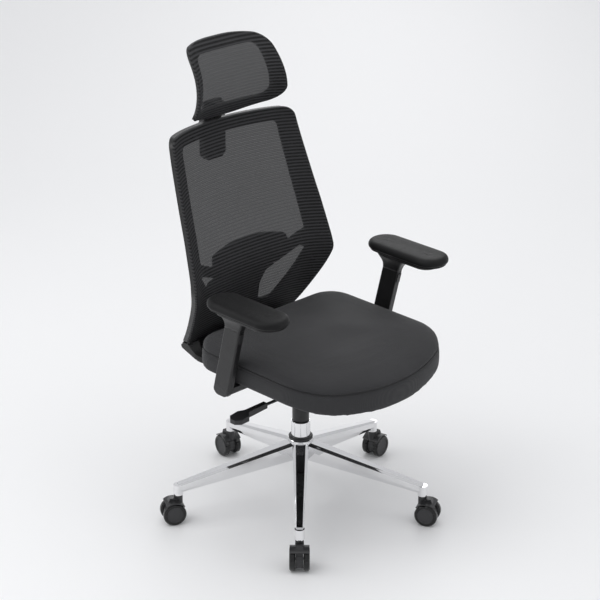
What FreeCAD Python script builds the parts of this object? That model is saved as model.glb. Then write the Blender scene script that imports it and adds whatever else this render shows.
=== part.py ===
"""Swivel office chair with a mesh back, headrest, adjustable arms and a five-leg base on casters.

Frame: millimetres, +Z up, the chair faces -Y and +X is the sitter's left.
The origin lies on the floor, on the swivel axis.
"""
import FreeCAD, Part
import Sketcher
import math
import os
from FreeCAD import Placement, Rotation, Vector

X_AXIS, Y_AXIS, Z_AXIS = Vector(1, 0, 0), Vector(0, 1, 0), Vector(0, 0, 1)
ORIGIN = Vector(0, 0, 0)
SIDES = {"left": 1, "right": -1}
LEG_COUNT = 5

doc = FreeCAD.newDocument("office_chair")
sheet = doc.addObject("Spreadsheet::Sheet", "Sizes")

SIZES = {
    # five-leg base
    "stem_circle": 330, "front_leg_angle": 225, "leg_root": 20, "leg_root_top": 186,
    "leg_root_shoulder": 179, "leg_root_bottom": 136, "leg_root_crown": 13, "leg_root_half": 21,
    "leg_tip_top": 109, "leg_tip_shoulder": 104, "leg_tip_bottom": 84, "leg_tip_crown": 7.5,
    "leg_tip_half": 10.5, "leg_wall": 4, "leg_hollow_end": 296, "tip_boss_radius": 12.5,
    "tip_boss_bottom": 78, "tip_boss_top": 106, "hub_bottom": 136, "hub_top": 193,
    "hub_radius": 29, "hub_flange_radius": 33.5, "hub_flange_height": 9, "hub_bore": 25.05,
    "ring_radius": 31.5, "ring_height": 7,
    # gas lift
    "tube_radius": 25, "tube_wall": 2, "tube_bottom": 133, "tube_top": 242, "bush_height": 34,
    "cylinder_radius": 14, "cylinder_wall": 1.5, "cylinder_bottom": 141, "cylinder_top": 336,
    "slide_gap": 0.05, "rod_radius": 5, "rod_top": 250, "bearing_radius": 12, "bearing_height": 4,
    "valve_radius": 4, "valve_top": 342,
    # casters
    "wheel_radius": 30, "wheel_width": 15, "wheel_inner": 10.2, "tread_round": 3, "dish_depth": 2,
    "dish_radius": 22, "caster_trail": 15, "caster_core": 9.5, "core_radius": 23, "hood_inner": 31.2,
    "hood_outer": 34, "hood_half": 24.5, "neck_radius": 11, "neck_bottom": 50, "neck_top": 77,
    "stem_radius": 5, "stem_bottom": 60, "stem_top": 101, "socket_radius": 8, "axle_radius": 3,
    "axle_half": 22, "running_gap": 0.05,
    # tilt mechanism
    "chassis_half": 42, "chassis_front": -98, "chassis_rear": 62, "chassis_floor": 330,
    "chassis_top_front": 396, "chassis_top_rear": 376, "chassis_wall": 4, "boss_radius": 22,
    "boss_bottom": 245, "tilt_shaft_y": 42, "tilt_shaft_z": 360, "tilt_shaft_radius": 6,
    "tilt_shaft_half": 58, "front_shaft_y": -86, "front_shaft_z": 404, "front_shaft_radius": 5,
    "front_shaft_half": 56, "ear_half": 9, "spring_y": -52, "spring_radius": 17, "spring_wire": 4,
    "spring_turns": 6, "knob_radius": 24, "knob_bottom": 297, "knob_top": 325,
    "screw_radius": 5, "lever_y": -50, "lever_z": 360, "lever_rod_radius": 4, "lever_tip_x": 180,
    "crank_inner": 28, "crank_outer": 36, "crank_bar_bottom": 344, "crank_bar_top": 352,
    "paddle_inner_x": 172, "paddle_neck_x": 236, "paddle_tip_x": 286, "paddle_half": 18,
    "paddle_thick": 11,
    # seat
    "seat_half": 255, "seat_front": -345, "seat_rear": 145, "seat_nose_start": -190,
    "seat_nose_corner": 130, "seat_rear_corner": 80, "seat_bottom": 433, "seat_top": 524,
    "seat_nose_bottom": 397, "seat_nose_seam": 462, "seat_nose_top": 489, "seat_edge_round": 22,
    "shell_inset": 14, "shell_thick": 10,
    "plate_half": 88, "plate_front": -150, "plate_rear": 105, "plate_thick": 3, "flange_drop": 16,
    # arms
    "arm_x": 278, "arm_foot_y": -11, "arm_foot_z": 424, "arm_lean": 14.1, "arm_half_x": 10,
    "arm_half_y": 26, "bracket_bottom": 411, "bracket_top": 433, "bracket_inner_x": 112,
    "sleeve_start": 10, "sleeve_length": 217, "sleeve_wall": 3.2, "post_gap": 0.3,
    "post_length": 175, "foot_round": 18, "pad_x": 281, "pad_centre_y": -106,
    "pad_length": 245, "pad_width": 96,
    "pad_bottom": 648.5, "pad_thick": 27, "pad_round": 10, "pad_base_length": 190,
    "pad_base_width": 66, "pad_base_bottom": 640, "button_width": 12, "button_height": 26,
    "button_thick": 3, "button_proud": 2,
    # backrest
    "back_bottom": 440, "back_bottom_half": 183, "back_widest": 622, "back_widest_half": 241,
    "back_top": 988, "back_top_half": 204, "frame_depth": 22, "mesh_thick": 1.5,
    "window_top": 958, "window_top_half": 163, "window_side": 675, "window_side_half": 184,
    "window_dip": 646, "window_dip_half": 120, "frame_lip": 6, "opening_flare": 16, "opening_drop": 10,
    "lumbar_half": 130, "lumbar_bottom": 606, "lumbar_top": 693, "lumbar_gap": 2,
    "lumbar_thick": 9, "lumbar_travel": 20, "pocket_depth": 18, "pocket_gap": 3,
    "bar_half": 54, "bar_slot_half": 43.5, "yoke_half": 183, "yoke_thick": 13, "foot_half": 145,
    "foot_top": 480, "spine_half": 56, "spine_rear_half": 80, "spine_top": 606, "spine_rear": 272, "spine_wall": 5,
    # headrest
    "head_bottom": 1004, "head_top": 1203, "head_corner_low_half": 155, "head_corner_low": 1033,
    "head_corner_high_half": 130, "head_corner_high": 1192, "head_frame_depth": 14,
    "head_window_bottom": 1040, "head_window_top": 1178, "head_window_low_half": 126,
    "head_window_high_half": 104, "head_centre": 1095, "head_front": 239,
    "holder_half": 36, "holder_front": 312, "holder_rear": 332, "holder_bottom": 878,
    "holder_top": 988, "stalk_half": 28, "stalk_front": 317, "stalk_rear": 327,
    "stalk_bottom": 892, "hinge_y": 322, "hinge_z": 1024, "hinge_pin_radius": 4,
    "knuckle_radius": 9, "lug_half": 16, "holder_chamfer": 12,
    # fasteners
    "bolt_radius": 3, "bolt_head_radius": 5.5, "bolt_head_height": 4, "seat_bolt_x": 72,
    "seat_bolt_front": -130, "seat_bolt_rear": 89, "arm_bolt_inner": 130, "arm_bolt_outer": 170,
    "foot_bolt_inner": 45, "foot_bolt_outer": 130, "foot_bolt_z": 460, "foot_bolt_y": 262,
    "holder_bolt_x": 32, "holder_bolt_z": 972,
}
for row, (alias, number) in enumerate(SIZES.items(), 1):
    sheet.set(f"A{row}", alias)
    sheet.set(f"B{row}", str(number))
    sheet.setAlias(f"B{row}", alias)
doc.recompute()


class Size:
    """A length together with the spreadsheet formula that gives it."""

    def __init__(self, value, formula):
        self.value = value
        self.formula = formula

    def __add__(self, other):
        other = as_size(other)
        return Size(self.value + other.value, f"({self.formula} + {other.formula})")

    def __sub__(self, other):
        other = as_size(other)
        return Size(self.value - other.value, f"({self.formula} - {other.formula})")

    def __mul__(self, factor):
        return Size(self.value * factor, f"({self.formula} * {factor})")

    def __neg__(self):
        return Size(-self.value, f"(0 - {self.formula})")


def as_size(number):
    return number if isinstance(number, Size) else Size(float(number), str(float(number)))


def size(alias):
    return Size(float(getattr(sheet, alias)), f"Sizes.{alias}")


def mm(alias):
    return float(getattr(sheet, alias))


# ---------------------------------------------------------------- building tools

nodes = {}


def keep(label, feature):
    feature.Label = label
    nodes[label] = feature
    return feature


def bind(feature, **lengths):
    for prop, length in lengths.items():
        feature.setExpression(prop, as_size(length).formula)


def aim(feature, at, axis=Z_AXIS):
    feature.Placement = Placement(Vector(*at), Rotation(Z_AXIS, axis))
    return feature


def box(name, length, width, height, at):
    feature = doc.addObject("Part::Box", name)
    bind(feature, Length=length, Width=width, Height=height)
    return aim(feature, at)


def centred_box(name, half_x, y_low, y_high, z_low, z_high):
    at = (-half_x.value, y_low.value, z_low.value)
    return box(name, half_x * 2, y_high - y_low, z_high - z_low, at)


def cylinder(name, radius, height, at, axis=Z_AXIS):
    feature = doc.addObject("Part::Cylinder", name)
    bind(feature, Radius=radius, Height=height)
    return aim(feature, at, axis)


def fuse(name, *features):
    feature = doc.addObject("Part::MultiFuse", name)
    feature.Shapes = list(features)
    feature.Refine = True
    return feature


def cut(name, base, *tools):
    feature = doc.addObject("Part::Cut", name)
    feature.Base = base
    feature.Tool = tools[0] if len(tools) == 1 else fuse(f"{name}_tools", *tools)
    return feature


def common(name, first, second):
    feature = doc.addObject("Part::MultiCommon", name)
    feature.Shapes = [first, second]
    return feature


def group(name, features):
    """Separate solids kept side by side in one sub-part."""
    feature = doc.addObject("Part::Compound", name)
    feature.Links = list(features)
    return feature


def solid(name, shape):
    feature = doc.addObject("Part::Feature", name)
    feature.Shape = shape
    return feature


def soften(name, source, radius, wanted):
    """Rounds the edges of a feature that the wanted function picks."""
    doc.recompute()
    chosen = [(i, radius, radius) for i, edge in enumerate(source.Shape.Edges, 1) if wanted(edge)]
    feature = doc.addObject("Part::Fillet", name)
    feature.Base = source
    feature.Edges = chosen
    return feature


def plane_of(body, role):
    return next(part for part in body.Origin.OriginFeatures if part.Role == role)


def add_sketch(body, name, role, offset=0):
    sketch = body.newObject("Sketcher::SketchObject", name)
    sketch.AttachmentSupport = (plane_of(body, role), "")
    sketch.MapMode = "FlatFace"
    offset = as_size(offset)
    sketch.AttachmentOffset = Placement(Vector(0, 0, offset.value), Rotation())
    if offset.value:
        sketch.setExpression("AttachmentOffset.Base.z", offset.formula)
    return sketch


def fix_coordinate(sketch, kind, line, length):
    """Ties the start of a line to the sketch's origin along one axis."""
    if abs(length.value) < 1e-9:
        sketch.addConstraint(Sketcher.Constraint("PointOnObject", line, 1, -2 if kind == "DistanceX" else -1))
        return
    if length.value > 0:
        constraint = Sketcher.Constraint(kind, -1, 1, line, 1, length.value)
        formula = length.formula
    else:
        constraint = Sketcher.Constraint(kind, line, 1, -1, 1, -length.value)
        formula = f"0 - {length.formula}"
    index = sketch.addConstraint(constraint)
    sketch.setExpression(f"Constraints[{index}]", formula)


def draw_polygon(sketch, corners):
    corners = [(as_size(u), as_size(v)) for u, v in corners]
    points = [Vector(u.value, v.value, 0) for u, v in corners]
    lines = [Part.LineSegment(a, b) for a, b in zip(points, points[1:] + points[:1])]
    sketch.addGeometry(lines, False)
    count = len(lines)
    for i in range(count):
        sketch.addConstraint(Sketcher.Constraint("Coincident", i, 2, (i + 1) % count, 1))
    for i, (u, v) in enumerate(corners):
        fix_coordinate(sketch, "DistanceX", i, u)
        fix_coordinate(sketch, "DistanceY", i, v)


def new_body(name):
    return doc.addObject("PartDesign::Body", name)


def revolve_in(body, name, corners):
    sketch = add_sketch(body, f"{name}_profile", "XZ_Plane")
    draw_polygon(sketch, corners)
    revolution = body.newObject("PartDesign::Revolution", f"{name}_turned")
    revolution.Profile = sketch
    revolution.ReferenceAxis = (sketch, ["V_Axis"])
    revolution.Angle = 360
    return revolution


def turned(name, corners, at=(0, 0, 0), axis=Z_AXIS):
    """A body turned about its own Z axis from a closed (radius, height) outline."""
    body = new_body(name)
    revolve_in(body, name, corners)
    return aim(body, at, axis)


def padded(name, role, corners, length, offset=0):
    """A body made of one polygon padded along its plane's normal."""
    body = new_body(name)
    sketch = add_sketch(body, f"{name}_outline", role, offset)
    draw_polygon(sketch, corners)
    pad = body.newObject("PartDesign::Pad", f"{name}_pad")
    pad.Profile = sketch
    bind(pad, Length=length)
    return body


def mirrored_outline(half_corners):
    """Closes an outline given for x >= 0, from the bottom to the top, about x = 0."""
    return half_corners + [(-as_size(x), z) for x, z in reversed(half_corners)]


def rounded_wire(corners, radii, place):
    """A closed wire of straight runs whose corners are arcs; place turns (u, v) into a point."""
    edges, ends = [], []
    count = len(corners)
    for i in range(count):
        before, here, after = (Vector(*corners[j % count], 0) for j in (i - 1, i, i + 1))
        to_before, to_after = (before - here).normalize(), (after - here).normalize()
        half_angle = to_before.getAngle(to_after) / 2
        reach = radii[i] / math.tan(half_angle)
        bisector = (to_before + to_after).normalize()
        middle = here + bisector * (radii[i] / math.sin(half_angle) - radii[i])
        ends.append((here + to_before * reach, middle, here + to_after * reach))
    for i, (start, middle, end) in enumerate(ends):
        edges.append(Part.Arc(place(start), place(middle), place(end)).toShape())
        following = ends[(i + 1) % count][0]
        if end.distanceToPoint(following) > 1e-6:
            edges.append(Part.LineSegment(place(end), place(following)).toShape())
    return Part.Wire(Part.__sortEdges__(edges))


def stadium(name, length, width, height, centre, edge_round):
    """A slab with two half-round ends along Y and softened upper and lower edges."""
    body = new_body(name)
    sketch = add_sketch(body, f"{name}_outline", "XY_Plane")
    radius, reach = width.value / 2, (length.value - width.value) / 2
    sketch.addGeometry([
        Part.ArcOfCircle(Part.Circle(Vector(0, reach, 0), Z_AXIS, radius), 0, math.pi),
        Part.LineSegment(Vector(-radius, reach, 0), Vector(-radius, -reach, 0)),
        Part.ArcOfCircle(Part.Circle(Vector(0, -reach, 0), Z_AXIS, radius), math.pi, 2 * math.pi),
        Part.LineSegment(Vector(radius, -reach, 0), Vector(radius, reach, 0))], False)
    for first, first_end, second, second_end in ((0, 2, 1, 1), (1, 2, 2, 1), (2, 2, 3, 1), (3, 2, 0, 1)):
        sketch.addConstraint(Sketcher.Constraint("Tangent", first, first_end, second, second_end))
    sketch.addConstraint(Sketcher.Constraint("PointOnObject", 0, 3, -2))
    sketch.addConstraint(Sketcher.Constraint("Symmetric", 0, 3, 2, 3, -1, 1))
    across = sketch.addConstraint(Sketcher.Constraint("Radius", 0, radius))
    sketch.setExpression(f"Constraints[{across}]", (width * 0.5).formula)
    along = sketch.addConstraint(Sketcher.Constraint("DistanceY", 2, 3, 0, 3, 2 * reach))
    sketch.setExpression(f"Constraints[{along}]", (length - width).formula)
    pad = body.newObject("PartDesign::Pad", f"{name}_pad")
    pad.Profile = sketch
    bind(pad, Length=height)
    doc.recompute()
    flat = [f"Edge{i}" for i, edge in enumerate(pad.Shape.Edges, 1) if edge.BoundBox.ZLength < 1e-6]
    fillet = body.newObject("PartDesign::Fillet", f"{name}_round")
    fillet.Base = (pad, flat)
    bind(fillet, Radius=edge_round)
    return aim(body, centre)


# ---------------------------------------------------------------- five-leg base and gas lift

def leg_outline(side, crown, top, shoulder, bottom):
    narrow = side - 4
    return mirrored_outline([(narrow, bottom), (side, shoulder - 14), (side, shoulder), (crown, top)])


def make_star_base():
    body = new_body("star_base")
    revolve_in(body, "hub", [
        (size("hub_bore"), size("hub_bottom")), (size("hub_radius") - 2, size("hub_bottom")),
        (size("hub_radius"), size("hub_bottom") + 2),
        (size("hub_radius"), size("hub_top") - size("hub_flange_height") - 2),
        (size("hub_flange_radius"), size("hub_top") - size("hub_flange_height")),
        (size("hub_flange_radius"), size("hub_top") - 1.5),
        (size("hub_flange_radius") - 1.5, size("hub_top")), (size("hub_bore"), size("hub_top"))])
    doc.recompute()

    root = add_sketch(body, "leg_root_section", "YZ_Plane", size("leg_root") + 6)
    draw_polygon(root, leg_outline(size("leg_root_half"), size("leg_root_crown"), size("leg_root_top"),
                                   size("leg_root_shoulder"), size("leg_root_bottom")))
    tip = add_sketch(body, "leg_tip_section", "YZ_Plane", size("stem_circle"))
    draw_polygon(tip, leg_outline(size("leg_tip_half"), size("leg_tip_crown"), size("leg_tip_top"),
                                  size("leg_tip_shoulder"), size("leg_tip_bottom")))
    leg = body.newObject("PartDesign::AdditiveLoft", "leg")
    leg.Profile = root
    leg.Sections = [tip]
    leg.Ruled = True
    doc.recompute()

    boss_sketch = add_sketch(body, "tip_boss_outline", "XY_Plane", size("tip_boss_bottom"))
    circle = Part.Circle(Vector(mm("stem_circle"), 0, 0), Z_AXIS, mm("tip_boss_radius"))
    boss_sketch.addGeometry(circle, False)
    boss_sketch.addConstraint(Sketcher.Constraint("PointOnObject", 0, 3, -1))
    place = boss_sketch.addConstraint(Sketcher.Constraint("DistanceX", -1, 1, 0, 3, mm("stem_circle")))
    boss_sketch.setExpression(f"Constraints[{place}]", size("stem_circle").formula)
    across = boss_sketch.addConstraint(Sketcher.Constraint("Radius", 0, mm("tip_boss_radius")))
    boss_sketch.setExpression(f"Constraints[{across}]", size("tip_boss_radius").formula)
    boss = body.newObject("PartDesign::Pad", "tip_boss")
    boss.Profile = boss_sketch
    bind(boss, Length=size("tip_boss_top") - size("tip_boss_bottom"))
    doc.recompute()

    legs = body.newObject("PartDesign::PolarPattern", "legs")
    legs.Originals = [leg, boss]
    legs.Axis = (plane_of(body, "Z_Axis"), [""])
    legs.Angle = 360
    legs.Occurrences = LEG_COUNT
    body.Tip = legs
    doc.recompute()
    turn_base = Rotation(Z_AXIS, mm("front_leg_angle"))
    body.Placement = Placement(ORIGIN, turn_base)

    hollows = [cylinder("hub_hollow", size("hub_bore"), size("hub_top") - size("hub_bottom") + 10,
                        (0, 0, mm("hub_bottom") - 5))]
    for k in range(LEG_COUNT):
        x, y = leg_end(k)
        hollows.append(cylinder(f"socket_hole_{k + 1}", size("socket_radius"),
                                size("stem_top") - size("tip_boss_bottom") + 1.5,
                                (x, y, mm("tip_boss_bottom") - 1)))
        hollows.append(solid(f"leg_channel_{k + 1}", leg_channel(leg_angle(k))))
    return keep("star_base", cut("star_base_cut", body, *hollows))


def leg_angle(k):
    return mm("front_leg_angle") + k * 360 / LEG_COUNT


def leg_end(k, radius=None):
    radius = mm("stem_circle") if radius is None else radius
    angle = math.radians(leg_angle(k))
    return radius * math.cos(angle), radius * math.sin(angle)


def leg_channel(angle):
    """The open channel under one leg, which leaves an even wall."""
    wall = mm("leg_wall")
    start, end = mm("hub_radius") + wall, mm("leg_hollow_end")
    share = (end - mm("leg_root")) / (mm("stem_circle") - mm("leg_root"))
    sections = []
    for along, t in ((start, 0.06), (end, share)):
        half = mm("leg_root_half") + (mm("leg_tip_half") - mm("leg_root_half")) * t - wall
        shoulder = mm("leg_root_shoulder") + (mm("leg_tip_shoulder") - mm("leg_root_shoulder")) * t
        bottom = mm("leg_root_bottom") + (mm("leg_tip_bottom") - mm("leg_root_bottom")) * t
        ring = [Vector(along, -half + 4, bottom - 8), Vector(along, half - 4, bottom - 8),
                Vector(along, half, shoulder - 14), Vector(along, half, shoulder - wall),
                Vector(along, -half, shoulder - wall), Vector(along, -half, shoulder - 14)]
        sections.append(Part.makePolygon(ring + ring[:1]))
    channel = Part.makeLoft(sections, True, True)
    channel.rotate(ORIGIN, Z_AXIS, angle)
    return channel


def make_gas_lift():
    ring = size("ring_radius")
    keep("hub_ring", turned("hub_ring", [
        (size("tube_radius") + 0.1, size("hub_top")), (ring, size("hub_top")),
        (ring, size("hub_top") + size("ring_height") - 2), (ring - 2, size("hub_top") + size("ring_height")),
        (size("tube_radius") + 0.1, size("hub_top") + size("ring_height"))]))
    outer, inner = size("tube_radius"), size("tube_radius") - size("tube_wall")
    keep("gas_lift_tube", turned("gas_lift_tube", [
        (size("rod_radius") + 1, size("tube_bottom")), (outer - 1, size("tube_bottom")),
        (outer, size("tube_bottom") + 1), (outer, size("tube_top") - 1), (outer - 1, size("tube_top")),
        (inner, size("tube_top")), (inner, size("tube_bottom") + 3),
        (size("rod_radius") + 1, size("tube_bottom") + 3)]))
    bore = size("cylinder_radius") + size("slide_gap")
    keep("guide_bush", turned("guide_bush", [
        (bore, size("tube_top") - size("bush_height")), (inner, size("tube_top") - size("bush_height")),
        (inner, size("tube_top") - 1), (bore, size("tube_top") - 1)]))
    floor = size("tube_bottom") + 3
    keep("thrust_bearing", turned("thrust_bearing", [
        (size("rod_radius"), floor + 0.1), (size("bearing_radius"), floor + 0.1),
        (size("bearing_radius"), floor + size("bearing_height")),
        (size("rod_radius"), floor + size("bearing_height"))]))
    keep("piston_rod", turned("piston_rod", [
        (0, size("tube_bottom") - 5), (size("rod_radius"), size("tube_bottom") - 5),
        (size("rod_radius"), size("rod_top") - 12), (size("rod_radius") + 6, size("rod_top") - 12),
        (size("rod_radius") + 6, size("rod_top")), (0, size("rod_top"))]))
    skin = size("cylinder_radius") - size("cylinder_wall")
    keep("gas_lift_cylinder", turned("gas_lift_cylinder", [
        (size("rod_radius") + size("slide_gap"), size("cylinder_bottom")),
        (size("cylinder_radius"), size("cylinder_bottom")),
        (size("cylinder_radius"), size("cylinder_top") - 1),
        (size("cylinder_radius") - 1, size("cylinder_top")),
        (size("valve_radius") + size("slide_gap"), size("cylinder_top")),
        (size("valve_radius") + size("slide_gap"), size("cylinder_top") - 14),
        (skin, size("cylinder_top") - 14), (skin, size("cylinder_bottom") + 5),
        (size("rod_radius") + size("slide_gap"), size("cylinder_bottom") + 5)]))
    keep("valve_button", turned("valve_button", [
        (0, size("cylinder_top") - 10), (size("valve_radius"), size("cylinder_top") - 10),
        (size("valve_radius"), size("valve_top") - 0.8), (size("valve_radius") - 0.8, size("valve_top")),
        (0, size("valve_top"))]))


# ---------------------------------------------------------------- casters

def stem_place(k):
    x, y = leg_end(k)
    return Placement(Vector(x, y, 0), Rotation(Z_AXIS, leg_angle(k)))


def make_caster(k):
    """One twin-wheel caster, trailing outwards from its stem along its own leg."""
    name = f"caster_{k + 1}"
    centre = mm("caster_trail")
    height = mm("wheel_radius")

    hood_disc = cylinder(f"{name}_hood_disc", size("hood_outer"), size("hood_half") * 2,
                         (centre, mm("hood_half"), height), -Y_AXIS)
    hood_void = cylinder(f"{name}_hood_void", size("hood_inner"), size("hood_half") * 2 + 2,
                         (centre, mm("hood_half") + 1, height), -Y_AXIS)
    hood_ring = cut(f"{name}_hood_ring", hood_disc, hood_void)
    quarter = box(f"{name}_hood_quarter", 90, 60, 60, (0, 0, 0))
    quarter.Placement = Placement(Vector(centre, -30, height), Rotation(Y_AXIS, -52))
    arch = common(f"{name}_arch", hood_ring, quarter)
    core = cylinder(f"{name}_core", size("core_radius"), size("caster_core") * 2,
                    (centre, mm("caster_core"), height), -Y_AXIS)
    web = box(f"{name}_web", 30, size("caster_core") * 2, 26, (0, -mm("caster_core"), 0))
    web.Placement = Placement(Vector(centre - 10, -mm("caster_core"), height + 8), Rotation(Y_AXIS, -20))
    neck = cylinder(f"{name}_neck", size("neck_radius"), size("neck_top") - size("neck_bottom"),
                    (0, 0, mm("neck_bottom")))
    well_sides = [box(f"{name}_well_{end}", 90, 40, 90, (centre - 45, low, -20))
                  for end, low in (("a", mm("caster_core")), ("b", -mm("caster_core") - 40))]
    wheel_room = cylinder(f"{name}_wheel_room", size("hood_inner"), 80, (centre, 40, height), -Y_AXIS)
    wells = common(f"{name}_wells", wheel_room, fuse(f"{name}_well_sides", *well_sides))
    body = fuse(f"{name}_hood_fused", arch, core, web, neck)
    stem_hole = cylinder(f"{name}_stem_hole", size("stem_radius"), 40, (0, 0, mm("stem_bottom")))
    axle_hole = cylinder(f"{name}_axle_hole", size("axle_radius"), 80, (centre, 40, height), -Y_AXIS)
    hood = cut(f"{name}_hood_cut", body, wells, stem_hole, axle_hole)
    hood.Placement = stem_place(k)
    keep(f"{name}_hood", hood)

    stem = turned(f"{name}_stem", [
        (0, size("stem_bottom")), (size("stem_radius"), size("stem_bottom")),
        (size("stem_radius"), size("stem_top") - 1), (size("stem_radius") - 1, size("stem_top")),
        (0, size("stem_top"))])
    axle = cylinder(f"{name}_axle", size("axle_radius"), size("axle_half") * 2,
                    (centre, mm("axle_half"), height), -Y_AXIS)
    pins = group(f"{name}_pins_group", [stem, axle])
    pins.Placement = stem_place(k)
    keep(f"{name}_pins", pins)

    radius, inner = size("wheel_radius"), size("wheel_inner")
    outer = inner + size("wheel_width")
    bore = size("axle_radius") + size("running_gap")
    blind = size("axle_half") + 0.5
    tread = size("tread_round")
    wheels = [turned(f"{name}_wheel_{end}", [
        (bore, inner), (radius - tread, inner), (radius, inner + tread), (radius, outer - tread),
        (radius - tread, outer), (size("dish_radius"), outer),
        (size("dish_radius") - 2, outer - size("dish_depth")),
        (0, outer - size("dish_depth")), (0, blind), (bore, blind)],
        (centre, 0, height), axis) for end, axis in (("a", Y_AXIS), ("b", -Y_AXIS))]
    pair = group(f"{name}_wheels_group", wheels)
    pair.Placement = stem_place(k)
    keep(f"{name}_wheels", pair)


def make_caster_sockets():
    sleeves = []
    for k in range(LEG_COUNT):
        x, y = leg_end(k)
        bore = size("stem_radius") + size("running_gap")
        sleeves.append(turned(f"socket_{k + 1}", [
            (bore, size("tip_boss_bottom")), (size("socket_radius"), size("tip_boss_bottom")),
            (size("socket_radius"), size("stem_top") + 0.5), (bore, size("stem_top") + 0.5)], (x, y, 0)))
    return keep("caster_sockets", group("caster_sockets_group", sleeves))


# ---------------------------------------------------------------- tilt mechanism and lever

def make_mechanism():
    half, wall = size("chassis_half"), size("chassis_wall")
    front, rear, floor = size("chassis_front"), size("chassis_rear"), size("chassis_floor")
    side_view = [(front, floor + 14), (front + 16, floor), (rear, floor), (rear, size("chassis_top_rear")),
                 (size("front_shaft_y") + 24, size("chassis_top_rear") + 6),
                 (front + 20, size("chassis_top_front")), (front, size("chassis_top_front"))]
    tray = padded("chassis_tray", "YZ_Plane", side_view, half * 2)
    tray.Placement = Placement(Vector(-half.value, 0, 0), Rotation())
    inside = box("chassis_inside", (half - wall) * 2, rear - front - wall * 2, 80,
                 (-half.value + wall.value, front.value + wall.value, floor.value + wall.value))
    ears = [box(f"chassis_ear_{end}", wall, size("ear_half") * 2, size("front_shaft_z") + 9 - floor - 40,
                (x, mm("front_shaft_y") - mm("ear_half"), floor.value + 40))
            for end, x in (("a", -half.value), ("b", half.value - wall.value))]
    boss = cylinder("chassis_boss", size("boss_radius"), floor + wall - size("boss_bottom"),
                    (0, 0, mm("boss_bottom")))
    screw_pad = cylinder("screw_pad", size("screw_radius") + 6, 8, (0, mm("spring_y"), floor.value - 4))
    body = fuse("chassis_body", cut("chassis_shell", tray, inside), boss, screw_pad, *ears)
    holes = [
        cylinder("taper_hole", size("cylinder_radius"), 120, (0, 0, mm("boss_bottom") - 1)),
        cylinder("screw_hole", size("screw_radius") + 0.05, 60, (0, mm("spring_y"), floor.value - 20)),
        cylinder("tilt_hole", size("tilt_shaft_radius"), 200,
                 (-100, mm("tilt_shaft_y"), mm("tilt_shaft_z")), X_AXIS),
        cylinder("front_hole", size("front_shaft_radius"), 200,
                 (-100, mm("front_shaft_y"), mm("front_shaft_z")), X_AXIS),
        box("lever_slot", 12, 14, 22, (-half.value - 3, mm("lever_y") - 7, mm("lever_z") - 9))]
    keep("mechanism_housing", cut("mechanism_housing_cut", body, *holes))

    shafts = [cylinder("tilt_shaft", size("tilt_shaft_radius"), size("tilt_shaft_half") * 2,
                       (-mm("tilt_shaft_half"), mm("tilt_shaft_y"), mm("tilt_shaft_z")), X_AXIS),
              cylinder("front_shaft", size("front_shaft_radius"), size("front_shaft_half") * 2,
                       (-mm("front_shaft_half"), mm("front_shaft_y"), mm("front_shaft_z")), X_AXIS)]
    keep("pivot_shafts", group("pivot_shafts_group", shafts))

    keep("recline_spring", make_spring())
    knob, stalk = size("knob_radius"), size("screw_radius")
    keep("tension_knob", turned("tension_knob", [
        (0, size("knob_bottom")), (knob - 3, size("knob_bottom")), (knob, size("knob_bottom") + 3),
        (knob, size("knob_top") - 6), (knob - 8, size("knob_top")), (stalk, size("knob_top")),
        (stalk, size("seat_bottom") - 12), (0, size("seat_bottom") - 12)], (0, mm("spring_y"), 0)))


def make_spring():
    """A helical spring with flat ends, standing on the housing floor round the tension screw."""
    radius, wire = mm("spring_radius"), mm("spring_wire")
    low = mm("chassis_floor") + mm("chassis_wall") + 4 + wire / 2
    high = mm("seat_bottom") - mm("plate_thick") - 14 - wire / 2
    helix = Part.makeHelix((high - low) / mm("spring_turns"), high - low, radius)
    profile = Part.Wire(Part.makeCircle(wire / 2, Vector(radius, 0, 0), Y_AXIS))
    coil = Part.Wire(helix).makePipeShell([profile], True, True)
    spring = solid("spring_coil", coil)
    spring.Placement = Placement(Vector(0, mm("spring_y"), low), Rotation())
    return spring


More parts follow.
